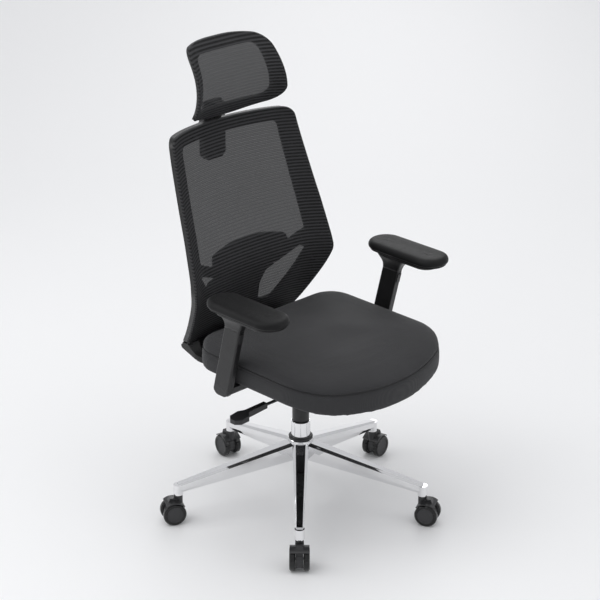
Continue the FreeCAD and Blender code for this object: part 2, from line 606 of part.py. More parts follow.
def make_lever():
    z, y = mm("lever_z"), mm("lever_y")
    radius = size("lever_rod_radius")
    inner, outer = size("crank_inner"), size("crank_outer")
    low, high = size("crank_bar_bottom"), size("crank_bar_top")
    rod = cylinder("lever_shank", radius, size("lever_tip_x") - inner, (-inner.value, y, z), -X_AXIS)
    crank = box("lever_crank", outer - inner, radius * 2 - size("lever_y"), size("lever_z") - low,
                (-outer.value, y - radius.value, low.value))
    bar = box("lever_bar", outer + radius, radius * 2, high - low, (-outer.value, -radius.value, low.value))
    nose = cylinder("lever_nose", size("valve_radius") - 0.5, low - size("valve_top") - 0.2 + 1,
                    (0, 0, mm("valve_top") + 0.2))
    keep("lever_rod", fuse("lever_rod_fused", rod, crank, bar, nose))

    inner, neck, tip = size("paddle_inner_x"), size("paddle_neck_x"), size("paddle_tip_x")
    half, thick = size("paddle_half"), size("paddle_thick")
    outline = [(-inner, size("lever_y") - 7), (-inner, size("lever_y") + 7), (-neck, size("lever_y") + 8),
               (-neck - 14, size("lever_y") + half), (-tip + 10, size("lever_y") + half),
               (-tip, size("lever_y") + half - 12), (-tip, size("lever_y") - half + 8),
               (-tip + 12, size("lever_y") - half - 4), (-neck - 12, size("lever_y") - half - 4),
               (-neck, size("lever_y") - 8)]
    slab = padded("paddle_slab", "XY_Plane", outline, thick + 20, size("lever_z") - thick - 12)
    side = [(-inner, size("lever_z") - 7), (-inner, size("lever_z") + 7), (-neck, size("lever_z") + 5),
            (-tip, size("lever_z") - 2), (-tip, size("lever_z") - 2 - thick), (-neck, size("lever_z") - thick)]
    wedge = padded("paddle_wedge", "XZ_Plane", side, 120)
    wedge.Placement = Placement(Vector(0, 20, 0), Rotation())
    hole = cylinder("paddle_hole", radius, size("lever_tip_x"), (0, y, z), -X_AXIS)
    keep("lever_paddle", cut("paddle_cut", common("paddle_blank", slab, wedge), hole))


# ---------------------------------------------------------------- seat

def seat_outline(inset, height):
    """Plan outline at a given inset: straight sides, round corners and a gently curved nose."""
    half, front, rear = mm("seat_half") - inset, mm("seat_front") + inset, mm("seat_rear") - inset
    start = mm("seat_nose_start")
    corner, rear_corner = mm("seat_nose_corner") - inset, mm("seat_rear_corner") - inset
    depth = start - front
    nose = ((half - corner) ** 2 + depth ** 2 - corner ** 2) / (2 * (depth - corner))
    meeting = math.atan2(half - corner, nose - depth)
    bend = (math.pi / 2 + meeting) / 2

    def at_corner(side, angle):
        x = side * (half - corner + corner * math.sin(angle))
        return Vector(x, start - corner * math.cos(angle), height)

    edges = [Part.Arc(at_corner(-1, meeting), Vector(0, front, height), at_corner(1, meeting)).toShape(),
             Part.LineSegment(Vector(half - rear_corner, rear, height),
                              Vector(rear_corner - half, rear, height)).toShape()]
    diagonal = rear_corner * (1 - math.sqrt(0.5))
    for side in (1, -1):
        edges.append(Part.Arc(at_corner(side, meeting), at_corner(side, bend),
                              at_corner(side, math.pi / 2)).toShape())
        outer = Vector(side * half, rear - rear_corner, height)
        edges.append(Part.LineSegment(at_corner(side, math.pi / 2), outer).toShape())
        edges.append(Part.Arc(outer, Vector(side * (half - diagonal), rear - diagonal, height),
                              Vector(side * (half - rear_corner), rear, height)).toShape())
    return Part.Face(Part.Wire(Part.__sortEdges__(edges)))


def side_band(points_low, points_high, half):
    """A block between two curves of the side view, as wide as 2 * half."""
    edges = []
    for points in (points_low, points_high):
        vectors = [Vector(-half, y, z) for y, z in points]
        edges.append((Part.LineSegment(vectors[0], vectors[1]).toShape(),
                      Part.Arc(vectors[1], vectors[2], vectors[3]).toShape()))
    low_front, high_front = edges[0][1].Vertexes[-1].Point, edges[1][1].Vertexes[-1].Point
    low_rear, high_rear = edges[0][0].Vertexes[0].Point, edges[1][0].Vertexes[0].Point
    closing = [Part.LineSegment(low_front, high_front).toShape(),
               Part.LineSegment(low_rear, high_rear).toShape()]
    face = Part.Face(Part.Wire(Part.__sortEdges__([*edges[0], *edges[1], *closing])))
    return face.extrude(Vector(2 * half, 0, 0))


def nose_curve(rear_level, front_level, front):
    """Level until the nose starts, then an arc that dips to the front level."""
    start, dip = mm("seat_nose_start"), rear_level - front_level
    return [(mm("seat_rear") + 20, rear_level), (start, rear_level),
            ((start + front) / 2, rear_level - dip * 0.25), (front, front_level)]


def crosses_seat(edge):
    """True for the seam from side to side where the level part meets the nose."""
    return edge.BoundBox.YLength < 1 and edge.BoundBox.YMin < 0


def make_seat():
    half, front = mm("seat_half") + 10, mm("seat_front") - 10
    bottom, top = mm("seat_bottom"), mm("seat_top")
    nose_bottom = mm("seat_nose_bottom")
    thick = mm("shell_thick")
    column = seat_outline(0, 380).extrude(Vector(0, 0, 200))
    band = side_band(nose_curve(bottom, nose_bottom, front),
                     nose_curve(top, mm("seat_nose_top"), front), half)
    foam = column.common(band)
    crown = [edge for edge in foam.Edges
             if edge.BoundBox.ZMin > mm("seat_nose_seam") and not crosses_seat(edge)]
    foam = foam.makeFillet(mm("seat_edge_round"), crown)
    inset = mm("shell_inset")
    shell_column = seat_outline(inset, 380).extrude(Vector(0, 0, 200))
    shell_band = side_band(nose_curve(bottom, nose_bottom, front),
                           nose_curve(bottom + thick, nose_bottom + thick, front), half)
    shell = shell_column.common(shell_band)
    threads = [Part.makeCylinder(mm("bolt_radius"), 60, Vector(x, y, bottom + thick - 61))
               for x, y in seat_bolt_points() + arm_bolt_points()]
    keep("seat_shell", solid("seat_shell_shape", shell.cut(threads)))
    room_band = side_band(nose_curve(bottom - 30, nose_bottom - 30, front),
                          nose_curve(bottom + thick, nose_bottom + thick, front), half)
    keep("seat_cushion", solid("seat_cushion_shape", foam.cut(shell_column.common(room_band))))

    thick, drop = size("plate_thick"), size("flange_drop")
    level = size("seat_bottom")
    plate = centred_box("seat_plate_top", size("plate_half"), size("plate_front"), size("plate_rear"),
                        level - thick, level)
    flanges = [box(f"seat_plate_flange_{end}", thick, size("plate_rear") - size("plate_front"), drop,
                   (x, mm("plate_front"), level.value - drop.value))
               for end, x in (("a", -mm("plate_half")), ("b", mm("plate_half") - thick.value))]
    ear_x = mm("chassis_half") + 1.5
    ears = [box(f"seat_ear_{end}", thick + 2, size("ear_half") * 2, level - size("front_shaft_z") + 9,
                (x, mm("front_shaft_y") - mm("ear_half"), mm("front_shaft_z") - 9))
            for end, x in (("a", -ear_x - 5), ("b", ear_x))]
    pivot = cylinder("seat_pivot_hole", size("front_shaft_radius") + size("running_gap"), 200,
                     (-100, mm("front_shaft_y"), mm("front_shaft_z")), X_AXIS)
    body = fuse("seat_plate_fused", plate, *flanges, *ears)
    under = level.value - thick.value
    holes = [cylinder(f"seat_bolt_hole_{i}", size("bolt_radius"), 30, (x, y, under - 10))
             for i, (x, y) in enumerate(seat_bolt_points(), 1)]
    keep("seat_plate", cut("seat_plate_cut", body, pivot, *holes))
    keep("seat_bolts", group("seat_bolts_group", [
        bolt(f"seat_bolt_{i}", (x, y, under), Z_AXIS, 10)
        for i, (x, y) in enumerate(seat_bolt_points(), 1)]))


def seat_bolt_points():
    return [(sign * mm("seat_bolt_x"), mm(end))
            for sign in (-1, 1) for end in ("seat_bolt_front", "seat_bolt_rear")]


def arm_bolt_points():
    return [(sign * mm(end), mm("arm_foot_y"))
            for sign in SIDES.values() for end in ("arm_bolt_inner", "arm_bolt_outer")]


def foot_bolt_points():
    return [(sign * mm(end), mm("foot_bolt_z"))
            for sign in (-1, 1) for end in ("foot_bolt_inner", "foot_bolt_outer")]


def holder_bolt_points():
    return [(sign * mm("holder_bolt_x"), mm("holder_bolt_z")) for sign in (-1, 1)]


def bolt(name, at, axis, length):
    """A cap bolt: its head stands out against the axis, under the point it bears on."""
    head, radius = size("bolt_head_height"), size("bolt_radius")
    return turned(name, [(0, -head), (size("bolt_head_radius"), -head), (size("bolt_head_radius"), 0),
                         (radius, 0), (radius, length), (0, length)], at, axis)


# ---------------------------------------------------------------- arms

def arm_axis_place(sign, along=0.0):
    """A frame whose Z runs up the leaning arm post and whose origin is in its foot."""
    lean = Rotation(X_AXIS, mm("arm_lean"))
    foot = Vector(sign * mm("arm_x"), mm("arm_foot_y"), mm("arm_foot_z"))
    return Placement(foot + lean.multVec(Z_AXIS * along), lean)


def rounded_bar(name, half_x, half_y, length, radius, place):
    """A rectangular bar with rounded long edges."""
    bar = box(f"{name}_bar", half_x * 2, half_y * 2, length, (-half_x.value, -half_y.value, 0))
    bar = soften(name, bar, radius, lambda edge: edge.BoundBox.ZLength > length.value - 1e-6)
    bar.Placement = place
    return bar


def bracket_profile():
    """Side view of an arm's foot, leaning with the post and rounded below."""
    tilt = math.radians(mm("arm_lean"))
    low, high = mm("bracket_bottom"), mm("bracket_bottom") + 60
    half = mm("arm_half_y") / math.cos(tilt)

    def middle(z):
        return mm("arm_foot_y") - (z - mm("arm_foot_z")) * math.tan(tilt)

    corners = [(middle(low) - half, low), (middle(low) + half, low),
               (middle(high) + half, high), (middle(high) - half, high)]
    wire = rounded_wire(corners, [mm("foot_round"), mm("foot_round"), 2, 2],
                        lambda point: Vector(-400, point.x, point.y))
    return Part.Face(wire).extrude(Vector(800, 0, 0))


def make_arm(side):
    sign = SIDES[side]
    half_x, half_y = size("arm_half_x"), size("arm_half_y")
    wall, gap = size("sleeve_wall"), size("post_gap")
    start = mm("sleeve_start")

    foot = rounded_bar(f"foot_{side}", half_x, half_y, Size(40, "40"), 4, arm_axis_place(sign, start - 40))
    inner, outer = mm("bracket_inner_x"), mm("arm_x")
    length = Size(outer - inner, "Sizes.arm_x - Sizes.bracket_inner_x")
    bar = box(f"bracket_bar_{side}", length, half_y * 2, size("bracket_top") - size("bracket_bottom"),
              (inner if sign > 0 else -outer, mm("arm_foot_y") - half_y.value, mm("bracket_bottom")))
    below = box(f"bracket_floor_{side}", 120, 200, 60,
                (sign * outer - 60, mm("arm_foot_y") - 100, mm("bracket_bottom") - 60))
    post_x, post_y = half_x - wall - gap, half_y - wall - gap
    post_pocket = rounded_bar(f"pocket_{side}", post_x, post_y, Size(60, "60"), 2,
                              arm_axis_place(sign, start - 16))
    under = mm("bracket_bottom") - 20
    holes = [cylinder(f"arm_bolt_hole_{side}_{i}", size("bolt_radius"), 60, (x, y, under))
             for i, (x, y) in enumerate(arm_bolt_points(), 1) if x * sign > 0]
    sleeve_room = rounded_bar(f"sleeve_room_{side}", half_x + 1, half_y + 1, Size(60, "60"), 4,
                              arm_axis_place(sign, start))
    profile = solid(f"bracket_profile_{side}", bracket_profile())
    blank = common(f"bracket_rounded_{side}", fuse(f"bracket_blank_{side}", foot, bar), profile)
    bracket = cut(f"arm_bracket_cut_{side}", blank, below, post_pocket, sleeve_room, *holes)
    keep(f"arm_bracket_{side}", bracket)
    keep(f"arm_post_{side}", rounded_bar(f"post_{side}", post_x, post_y, size("post_length"), 2,
                                         arm_axis_place(sign, start - 16)))

    sleeve_bar = rounded_bar(f"sleeve_bar_{side}", half_x, half_y, size("sleeve_length") + 20, 4,
                             arm_axis_place(sign, start + 0.3))
    bore = rounded_bar(f"sleeve_bore_{side}", half_x - wall, half_y - wall, size("sleeve_length") - 6, 2,
                       arm_axis_place(sign, start - 0.7))
    above = box(f"sleeve_roof_{side}", 120, 300, 80,
                (sign * outer - 60, mm("arm_foot_y") - 200, mm("pad_base_bottom")))
    notch_low = Placement(arm_axis_place(sign, mm("sleeve_length") - 62))
    notch = box(f"button_notch_{side}", size("button_width") + 0.8, wall * 2,
                size("button_height") + 2.8, (0, 0, 0))
    notch.Placement = notch_low * Placement(
        Vector(-mm("button_width") / 2 - 0.4, -half_y.value - wall.value, -1.4), Rotation())
    keep(f"arm_sleeve_{side}", cut(f"sleeve_cut_{side}", sleeve_bar, bore, above, notch))
    key = box(f"button_key_{side}", size("button_width"), size("button_thick"),
              size("button_height"), (0, 0, 0))
    key.Placement = notch_low * Placement(
        Vector(-mm("button_width") / 2, -half_y.value - mm("button_proud"), 0), Rotation())
    keep(f"arm_button_{side}", key)

    centre = (sign * mm("pad_x"), mm("pad_centre_y"))
    base = stadium(f"pad_base_{side}", size("pad_base_length"), size("pad_base_width"),
                   size("pad_bottom") - size("pad_base_bottom") - 0.3, (*centre, mm("pad_base_bottom")), 1.5)
    keep(f"arm_pad_base_{side}", base)
    keep(f"arm_pad_{side}", stadium(f"pad_{side}", size("pad_length"), size("pad_width"), size("pad_thick"),
                                    (*centre, mm("pad_bottom")), size("pad_round")))


def make_arms():
    for side in SIDES:
        make_arm(side)
    keep("arm_bolts", group("arm_bolts_group", [
        bolt(f"arm_bolt_{i}", (x, y, mm("bracket_bottom")), Z_AXIS, 30)
        for i, (x, y) in enumerate(arm_bolt_points(), 1)]))


# ---------------------------------------------------------------- backrest

# Centre line of the back in the side view, as (height, depth) pairs from the foot to the top.
BACK_LINE = ((420, 253), (430, 248), (480, 223), (545, 196), (620, 181), (700, 196), (820, 238),
             (940, 277), (1000, 291))
SURFACE_COLUMNS = 24


def blend(z, low, high, low_value, high_value):
    share = min(max((z - low) / (high - low), 0), 1)
    return low_value + (high_value - low_value) * share


def line_depth(z):
    """Depth of the centre line at a height, by a cubic through its neighbours."""
    points = BACK_LINE
    z = min(max(z, points[0][0]), points[-1][0])
    i = max(k for k in range(len(points) - 1) if points[k][0] <= z)
    z0, y0 = points[i]
    z1, y1 = points[i + 1]
    before, after = points[max(i - 1, 0)], points[min(i + 2, len(points) - 1)]
    slope0 = (y1 - before[1]) / (z1 - before[0])
    slope1 = (after[1] - y0) / (after[0] - z0)
    t, span = (z - z0) / (z1 - z0), z1 - z0
    return ((2 * t ** 3 - 3 * t ** 2 + 1) * y0 + (t ** 3 - 2 * t ** 2 + t) * span * slope0
            + (3 * t ** 2 - 2 * t ** 3) * y1 + (t ** 3 - t ** 2) * span * slope1)


def back_depth(x, z):
    """Front surface of the frame: dished in plan, with steeper wings at the sides."""
    dish = blend(z, 700, 960, 0.00045, 0.00100)
    wing = blend(z, 730, 950, 0.60, 0.25)
    wing_start = blend(z, 730, 950, 185, 165)
    soft = 12
    shoulder = soft * math.log(1 + math.exp((abs(x) - wing_start) / soft))
    return line_depth(z) - dish * x * x - wing * shoulder


def head_depth(x, z):
    """Front surface of the headrest: bowed forwards in height and dished in plan."""
    return mm("head_front") + 0.005 * (z - mm("head_centre")) ** 2 - 0.0002 * x * x - 7.5e-8 * x ** 4


def surface_slab(depth, half, z_low, z_high, rows, front, thickness):
    """A curved slab that follows a depth function, from front to front + thickness behind it."""
    grid = [[Vector(half * (2 * i / SURFACE_COLUMNS - 1),
                    depth(half * (2 * i / SURFACE_COLUMNS - 1), z_low + (z_high - z_low) * j / rows) + front,
                    z_low + (z_high - z_low) * j / rows) for j in range(rows + 1)]
            for i in range(SURFACE_COLUMNS + 1)]
    surface = Part.BSplineSurface()
    surface.interpolate(grid)
    return surface.toShape().extrude(Vector(0, thickness, 0))


def back_slab(front, thickness):
    """A layer of the backrest, from front to front + thickness behind the frame's front surface."""
    return surface_slab(back_depth, mm("back_widest_half") + 12, mm("back_bottom") - 8, mm("back_top") + 8,
                        14, front, thickness)


def front_prism(corners, radii):
    """A block through the back, whose front view is an outline with arc corners."""
    wire = rounded_wire(corners, radii, lambda point: Vector(point.x, 0, point.y))
    return Part.Face(wire).extrude(Vector(0, 500, 0))


def both_sides(half_corners):
    return half_corners + [(-x, z) for x, z in reversed(half_corners)]


def back_outline():
    corners = both_sides([(mm("back_bottom_half"), mm("back_bottom")),
                          (mm("back_widest_half"), mm("back_widest")),
                          (mm("back_top_half"), mm("back_top"))])
    return corners, [14, 60, 24, 24, 60, 14]


def window_outline():
    corners = both_sides([(mm("window_dip_half"), mm("window_dip")), (mm("window_side_half"), mm("window_side")),
                          (mm("window_top_half"), mm("window_top"))])
    return corners, [90, 9, 16, 16, 9, 90]


def vent_outline(sign):
    """One of the two leaf-shaped vents beside the lower spine."""
    corners = [(48, 506), (92, 494), (193, 648), (100, 611), (51, 592), (38, 558)]
    if sign < 0:
        corners = [(-x, z) for x, z in reversed(corners)]
    radii = [5, 8, 3, 90, 16, 30] if sign > 0 else [30, 16, 90, 3, 8, 5]
    return corners, radii


def lumbar_outline(grow, rise=0):
    half, low = mm("lumbar_half") + grow, mm("lumbar_bottom") - grow
    high = mm("lumbar_top") + grow + rise
    corners = both_sides([(half - 50, low), (half, low + 40), (half - 3, high - 17), (50, high)])
    return corners, [20, 14, 16, 200, 200, 16, 14, 20]


def flared_openings():
    """The wider rear part of the window and the vents, behind a thin front lip."""
    layer = back_slab(mm("frame_lip"), mm("frame_depth") + 10)
    flare, drop = mm("opening_flare"), mm("opening_drop")
    openings = []
    for sign in SIDES.values():
        window = front_prism(*window_outline())
        window.translate(X_AXIS * sign * flare)
        vent = front_prism(*vent_outline(sign))
        vent.translate(Vector(sign * flare, 0, -drop))
        openings += [window.common(layer), vent.common(layer)]
    return openings


def make_backrest():
    depth, mesh = mm("frame_depth"), mm("mesh_thick")
    outline = front_prism(*back_outline())
    plate = back_slab(0, depth).common(outline)
    openings = [front_prism(*window_outline())]
    openings += [front_prism(*vent_outline(sign)) for sign in SIDES.values()]
    openings += flared_openings()
    pocket = back_slab(-20, 20 + mm("pocket_depth"))
    travel = mm("lumbar_travel")
    openings.append(pocket.common(front_prism(*lumbar_outline(mm("pocket_gap"), travel))))
    slot_low = mm("lumbar_bottom") + 12
    openings.append(Part.makeBox(18, 500, 22 + travel, Vector(-9, 0, slot_low)))
    for x, z in foot_bolt_points() + holder_bolt_points():
        openings.append(Part.makeCylinder(mm("bolt_radius"), 400, Vector(x, 0, z), Y_AXIS))
    keep("back_frame", solid("back_frame_shape", plate.cut(openings)))
    keep("back_mesh", solid("back_mesh_shape", back_slab(-mesh, mesh).common(outline)))

    pad = back_slab(mm("lumbar_gap"), mm("lumbar_thick"))
    keep("lumbar_pad", solid("lumbar_pad_shape", pad.common(front_prism(*lumbar_outline(0)))))
    stem_z = slot_low + 10
    pad_back = back_depth(0, stem_z) + mm("lumbar_gap") + mm("lumbar_thick")
    stem = cylinder("lumbar_stem", 7, 26, (0, pad_back - 1, stem_z), Y_AXIS)
    grip = box("lumbar_grip", 46, 8, 18, (-23, pad_back + 22, stem_z - 9))
    cover = solid("lumbar_pad_room", nodes["lumbar_pad"].Shape.copy())
    keep("lumbar_slider", cut("lumbar_slider_cut", fuse("lumbar_slider_fused", stem, grip), cover))


def side_prism(corners, radii, half):
    """A block across the chair, whose side view (depth, height) is an outline with arc corners."""
    wire = rounded_wire(corners, radii, lambda point: Vector(-half, point.x, point.y))
    return Part.Face(wire).extrude(Vector(2 * half, 0, 0))


def make_back_bar():
    """The yoke under the seat, the foot behind the back frame and the hollow spine above it."""
    y0, z0 = mm("tilt_shaft_y"), mm("tilt_shaft_z")
    bottom, thick, rear = mm("back_bottom"), mm("yoke_thick"), mm("spine_rear")
    foot_top, spine_top = mm("foot_top"), mm("spine_top")
    yoke_end = back_depth(0, bottom) + mm("frame_depth")
    lower = [(y0 - 14, z0 - 13), (120, z0 + 6), (200, 407), (yoke_end - 14, 424), (yoke_end - 8, bottom + 6)]
    upper = [(yoke_end - 30, bottom + 6), (200, 407 + thick), (120, z0 + 32), (y0 - 14, z0 + 13)]
    yoke = side_prism(lower + upper, [10, 80, 120, 6, 2, 2, 120, 80, 10], mm("yoke_half"))
    yoke = yoke.cut(back_slab(mm("frame_depth"), 60))
    narrow, wide = mm("bar_half"), mm("yoke_half")
    plan_corners = [(narrow, 0), (narrow, 92), (wide, 190), (wide, 330)]
    plan_corners += [(-x, y) for x, y in reversed(plan_corners)]
    plan = Part.Face(rounded_wire(plan_corners, [4, 50, 30, 4, 4, 30, 50, 4],
                                  lambda point: Vector(point.x, point.y, 300)))
    yoke = yoke.common(plan.extrude(Vector(0, 0, 300)))
    foot = side_prism([(180, bottom - 6), (rear, bottom - 6), (rear - 10, foot_top), (180, foot_top)],
                      [2, 12, 12, 2], mm("foot_half"))
    spine = side_prism([(170, bottom - 6), (rear, bottom - 6), (rear, 560), (228, spine_top), (170, spine_top)],
                       [2, 12, 60, 10, 2], mm("spine_rear_half"))
    front_half, rear_half = mm("spine_half"), mm("spine_rear_half")
    spine_corners = [(front_half, 150), (front_half, 215), (rear_half, rear - 8), (rear_half, rear + 10)]
    spine_corners += [(-x, y) for x, y in reversed(spine_corners)]
    spine_plan = rounded_wire(spine_corners, [2, 20, 8, 2, 2, 8, 20, 2],
                              lambda point: Vector(point.x, point.y, 300))
    spine = spine.common(Part.Face(spine_plan).extrude(Vector(0, 0, 500)))
    wall = mm("spine_wall")
    hollow = side_prism([(170, foot_top + 6), (rear + 20, foot_top + 6), (rear + 20, spine_top - 22),
                         (170, spine_top - 22)], [4, 4, 4, 4], mm("spine_half") - wall)
    hollow = hollow.cut(back_slab(-200, 200 + mm("frame_depth") + wall))
    frame_room = back_slab(-200, 200 + mm("frame_depth"))
    above = Part.makeBox(600, 400, 600, Vector(-300, 0, bottom))
    slot = Part.makeBox(2 * mm("bar_slot_half"), 140, 120, Vector(-mm("bar_slot_half"), y0 - 40, z0 - 60))
    shaft_radius = mm("tilt_shaft_radius") + mm("running_gap")
    shaft = Part.makeCylinder(shaft_radius, 200, Vector(-100, y0, z0), X_AXIS)
    holes = []
    for x, z in foot_bolt_points():
        holes.append(Part.makeCylinder(mm("bolt_radius"), 400, Vector(x, 0, z), Y_AXIS))
        seat = Vector(x, mm("foot_bolt_y"), z)
        holes.append(Part.makeCylinder(mm("bolt_head_radius") + 0.5, 40, seat, Y_AXIS))
    body = yoke.fuse([foot.cut(Part.makeBox(600, 400, 20, Vector(-300, 0, bottom - 26))), spine])
    body = body.cut([frame_room.common(above), slot, shaft, hollow, *holes])
    keep("back_bar", solid("back_bar_shape", body))
    screws = [bolt(f"foot_bolt_{i}", (x, mm("foot_bolt_y"), z), -Y_AXIS, 22)
              for i, (x, z) in enumerate(foot_bolt_points(), 1)]
    screws += [bolt(f"holder_bolt_{i}", (x, mm("holder_rear"), z), -Y_AXIS, 36)
               for i, (x, z) in enumerate(holder_bolt_points(), 1)]
    keep("back_bolts", group("back_bolts_group", screws))


# ---------------------------------------------------------------- headrest

def holder_chamfer(sign):
    """The wedge taken off one lower corner of the headrest's holder."""
    half, low, reach = mm("holder_half") * sign, mm("holder_bottom"), mm("holder_chamfer")
    corners = [Vector(half, 280, low), Vector(half - sign * reach, 280, low), Vector(half, 280, low + reach)]
    return Part.Face(Part.makePolygon(corners + corners[:1])).extrude(Vector(0, 80, 0))


def make_headrest():
    front, rear = size("holder_front"), size("holder_rear")
    gap = size("post_gap")
    holder = centred_box("holder_block", size("holder_half"), front, rear,
                         size("holder_bottom"), size("holder_top"))
    feet = [Part.makeBox(16, 60, 22, Vector(x, 270, 961)) for x in (-36, 20)]
    frame_room = back_slab(-100, 100 + mm("frame_depth"))
    foot_solid = solid("holder_feet", feet[0].fuse(feet[1]).cut(frame_room))
    channel = centred_box("holder_channel", size("stalk_half") + gap, size("stalk_front") - gap,
                          size("stalk_rear") + gap, size("holder_bottom") + 8, size("holder_top") + 5)
    holes = [cylinder(f"holder_hole_{i}", size("bolt_radius"), 80, (x, 280, z), Y_AXIS)
             for i, (x, z) in enumerate(holder_bolt_points(), 1)]
    chamfers = [solid(f"holder_chamfer_{end}", holder_chamfer(sign)) for end, sign in (("a", 1), ("b", -1))]
    blank = fuse("holder_fused", holder, foot_solid)
    keep("headrest_bracket", cut("headrest_bracket_cut", blank, channel, *chamfers, *holes))

    hinge = (mm("hinge_y"), mm("hinge_z"))
    stalk = centred_box("stalk_bar", size("stalk_half"), size("stalk_front"), size("stalk_rear"),
                        size("stalk_bottom"), size("hinge_z"))
    knuckle = cylinder("stalk_knuckle", size("knuckle_radius"), size("stalk_half") * 2,
                       (-mm("stalk_half"), *hinge), X_AXIS)
    lug_room = centred_box("stalk_lug_room", size("lug_half") + 0.4, size("hinge_y") - 20, size("hinge_y") + 20,
                           size("hinge_z") - 12, size("hinge_z") + 20)
    pin_hole = cylinder("stalk_pin_hole", size("hinge_pin_radius"), 90, (-45, *hinge), X_AXIS)
    keep("headrest_post", cut("headrest_post_cut", fuse("stalk_fused", stalk, knuckle), lug_room, pin_hole))
    keep("headrest_pin", cylinder("headrest_pin", size("hinge_pin_radius"), size("stalk_half") * 2 + 4,
                                  (-mm("stalk_half") - 2, *hinge), X_AXIS))

    half = mm("head_corner_low_half") + 12
    bottom, top = mm("head_bottom"), mm("head_top")
    corners = both_sides([(60, bottom), (mm("head_corner_low_half"), mm("head_corner_low") - 3),
                          (mm("head_corner_high_half"), mm("head_corner_high")), (60, top)])
    outline = front_prism(corners, [430, 42, 38, 540, 540, 38, 42, 430])
    window_low, window_high = mm("head_window_bottom"), mm("head_window_top")
    window = front_prism(both_sides([(mm("head_window_low_half"), window_low),
                                     (mm("head_window_high_half"), window_high)]), [24, 26, 26, 24])
    depth = mm("head_frame_depth")
    slab = surface_slab(head_depth, half, bottom - 8, top + 8, 10, 0, depth)
    ring = slab.common(outline).cut(window)
    lug = Part.makeBox(2 * mm("lug_half"), 62, 15, Vector(-mm("lug_half"), hinge[0] - 55, hinge[1] - 7.5))
    lug = lug.fuse(Part.makeCylinder(mm("knuckle_radius"), 2 * mm("lug_half"),
                                     Vector(-mm("lug_half"), *hinge), X_AXIS))
    room = surface_slab(head_depth, half, bottom - 8, top + 8, 10, -100, 103)
    bore = Part.makeCylinder(mm("hinge_pin_radius") + mm("running_gap"), 90, Vector(-45, *hinge), X_AXIS)
    keep("headrest_frame", solid("headrest_frame_shape", ring.fuse(lug.cut(room)).cut(bore)))
    skin = surface_slab(head_depth, half, bottom - 8, top + 8, 10, -mm("mesh_thick"), mm("mesh_thick"))
    keep("headrest_mesh", solid("headrest_mesh_shape", skin.common(outline)))


# ---------------------------------------------------------------- build, check and write

def check_document():
    broken = [item.Name for item in doc.Objects if {"Invalid", "Error"} & set(item.State)]
    if broken:
        raise RuntimeError(f"features failed: {broken}")
    for label, feature in nodes.items():
        if feature.Shape.isNull() or not feature.Shape.isValid() or not feature.Shape.Solids:
            raise RuntimeError(f"{label} has no valid solid")


def main():
    make_star_base()
    make_caster_sockets()
    make_gas_lift()
    for k in range(LEG_COUNT):
        make_caster(k)
    make_mechanism()
    make_lever()
    make_seat()
    make_arms()
    make_backrest()
    make_back_bar()
    make_headrest()
    doc.recompute()
    check_document()
    os.makedirs("parts", exist_ok=True)
    for label, feature in nodes.items():
        feature.Shape.exportStep(f"parts/{label}.step")
        print(f"{label}: {len(feature.Shape.Solids)} solids, {feature.Shape.Volume / 1000:.1f} cm3")


main()
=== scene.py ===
"""Looks of the swivel office chair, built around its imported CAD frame.

Metres, +Z up. The chair faces -Y, +X is the sitter's left and the origin is on the swivel axis.
"""
import math

import bmesh
import bpy
import numpy as np
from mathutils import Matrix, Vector
from mathutils.bvhtree import BVHTree


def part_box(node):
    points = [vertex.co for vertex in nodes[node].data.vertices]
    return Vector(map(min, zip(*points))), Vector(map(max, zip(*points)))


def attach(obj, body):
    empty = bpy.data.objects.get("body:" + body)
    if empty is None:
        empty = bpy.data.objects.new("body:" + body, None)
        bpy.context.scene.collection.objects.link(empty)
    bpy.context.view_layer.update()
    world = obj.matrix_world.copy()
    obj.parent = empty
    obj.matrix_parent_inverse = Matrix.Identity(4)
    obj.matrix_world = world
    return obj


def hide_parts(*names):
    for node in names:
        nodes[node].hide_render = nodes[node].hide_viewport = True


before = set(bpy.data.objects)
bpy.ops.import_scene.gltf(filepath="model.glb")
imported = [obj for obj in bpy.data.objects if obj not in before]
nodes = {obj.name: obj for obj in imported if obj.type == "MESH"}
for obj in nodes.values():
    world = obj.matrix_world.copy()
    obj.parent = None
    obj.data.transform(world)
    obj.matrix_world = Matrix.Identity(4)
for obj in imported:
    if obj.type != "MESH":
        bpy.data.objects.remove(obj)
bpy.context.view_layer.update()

SIDES = ("left", "right")
MM = 0.001


# ---------------------------------------------------------------- materials

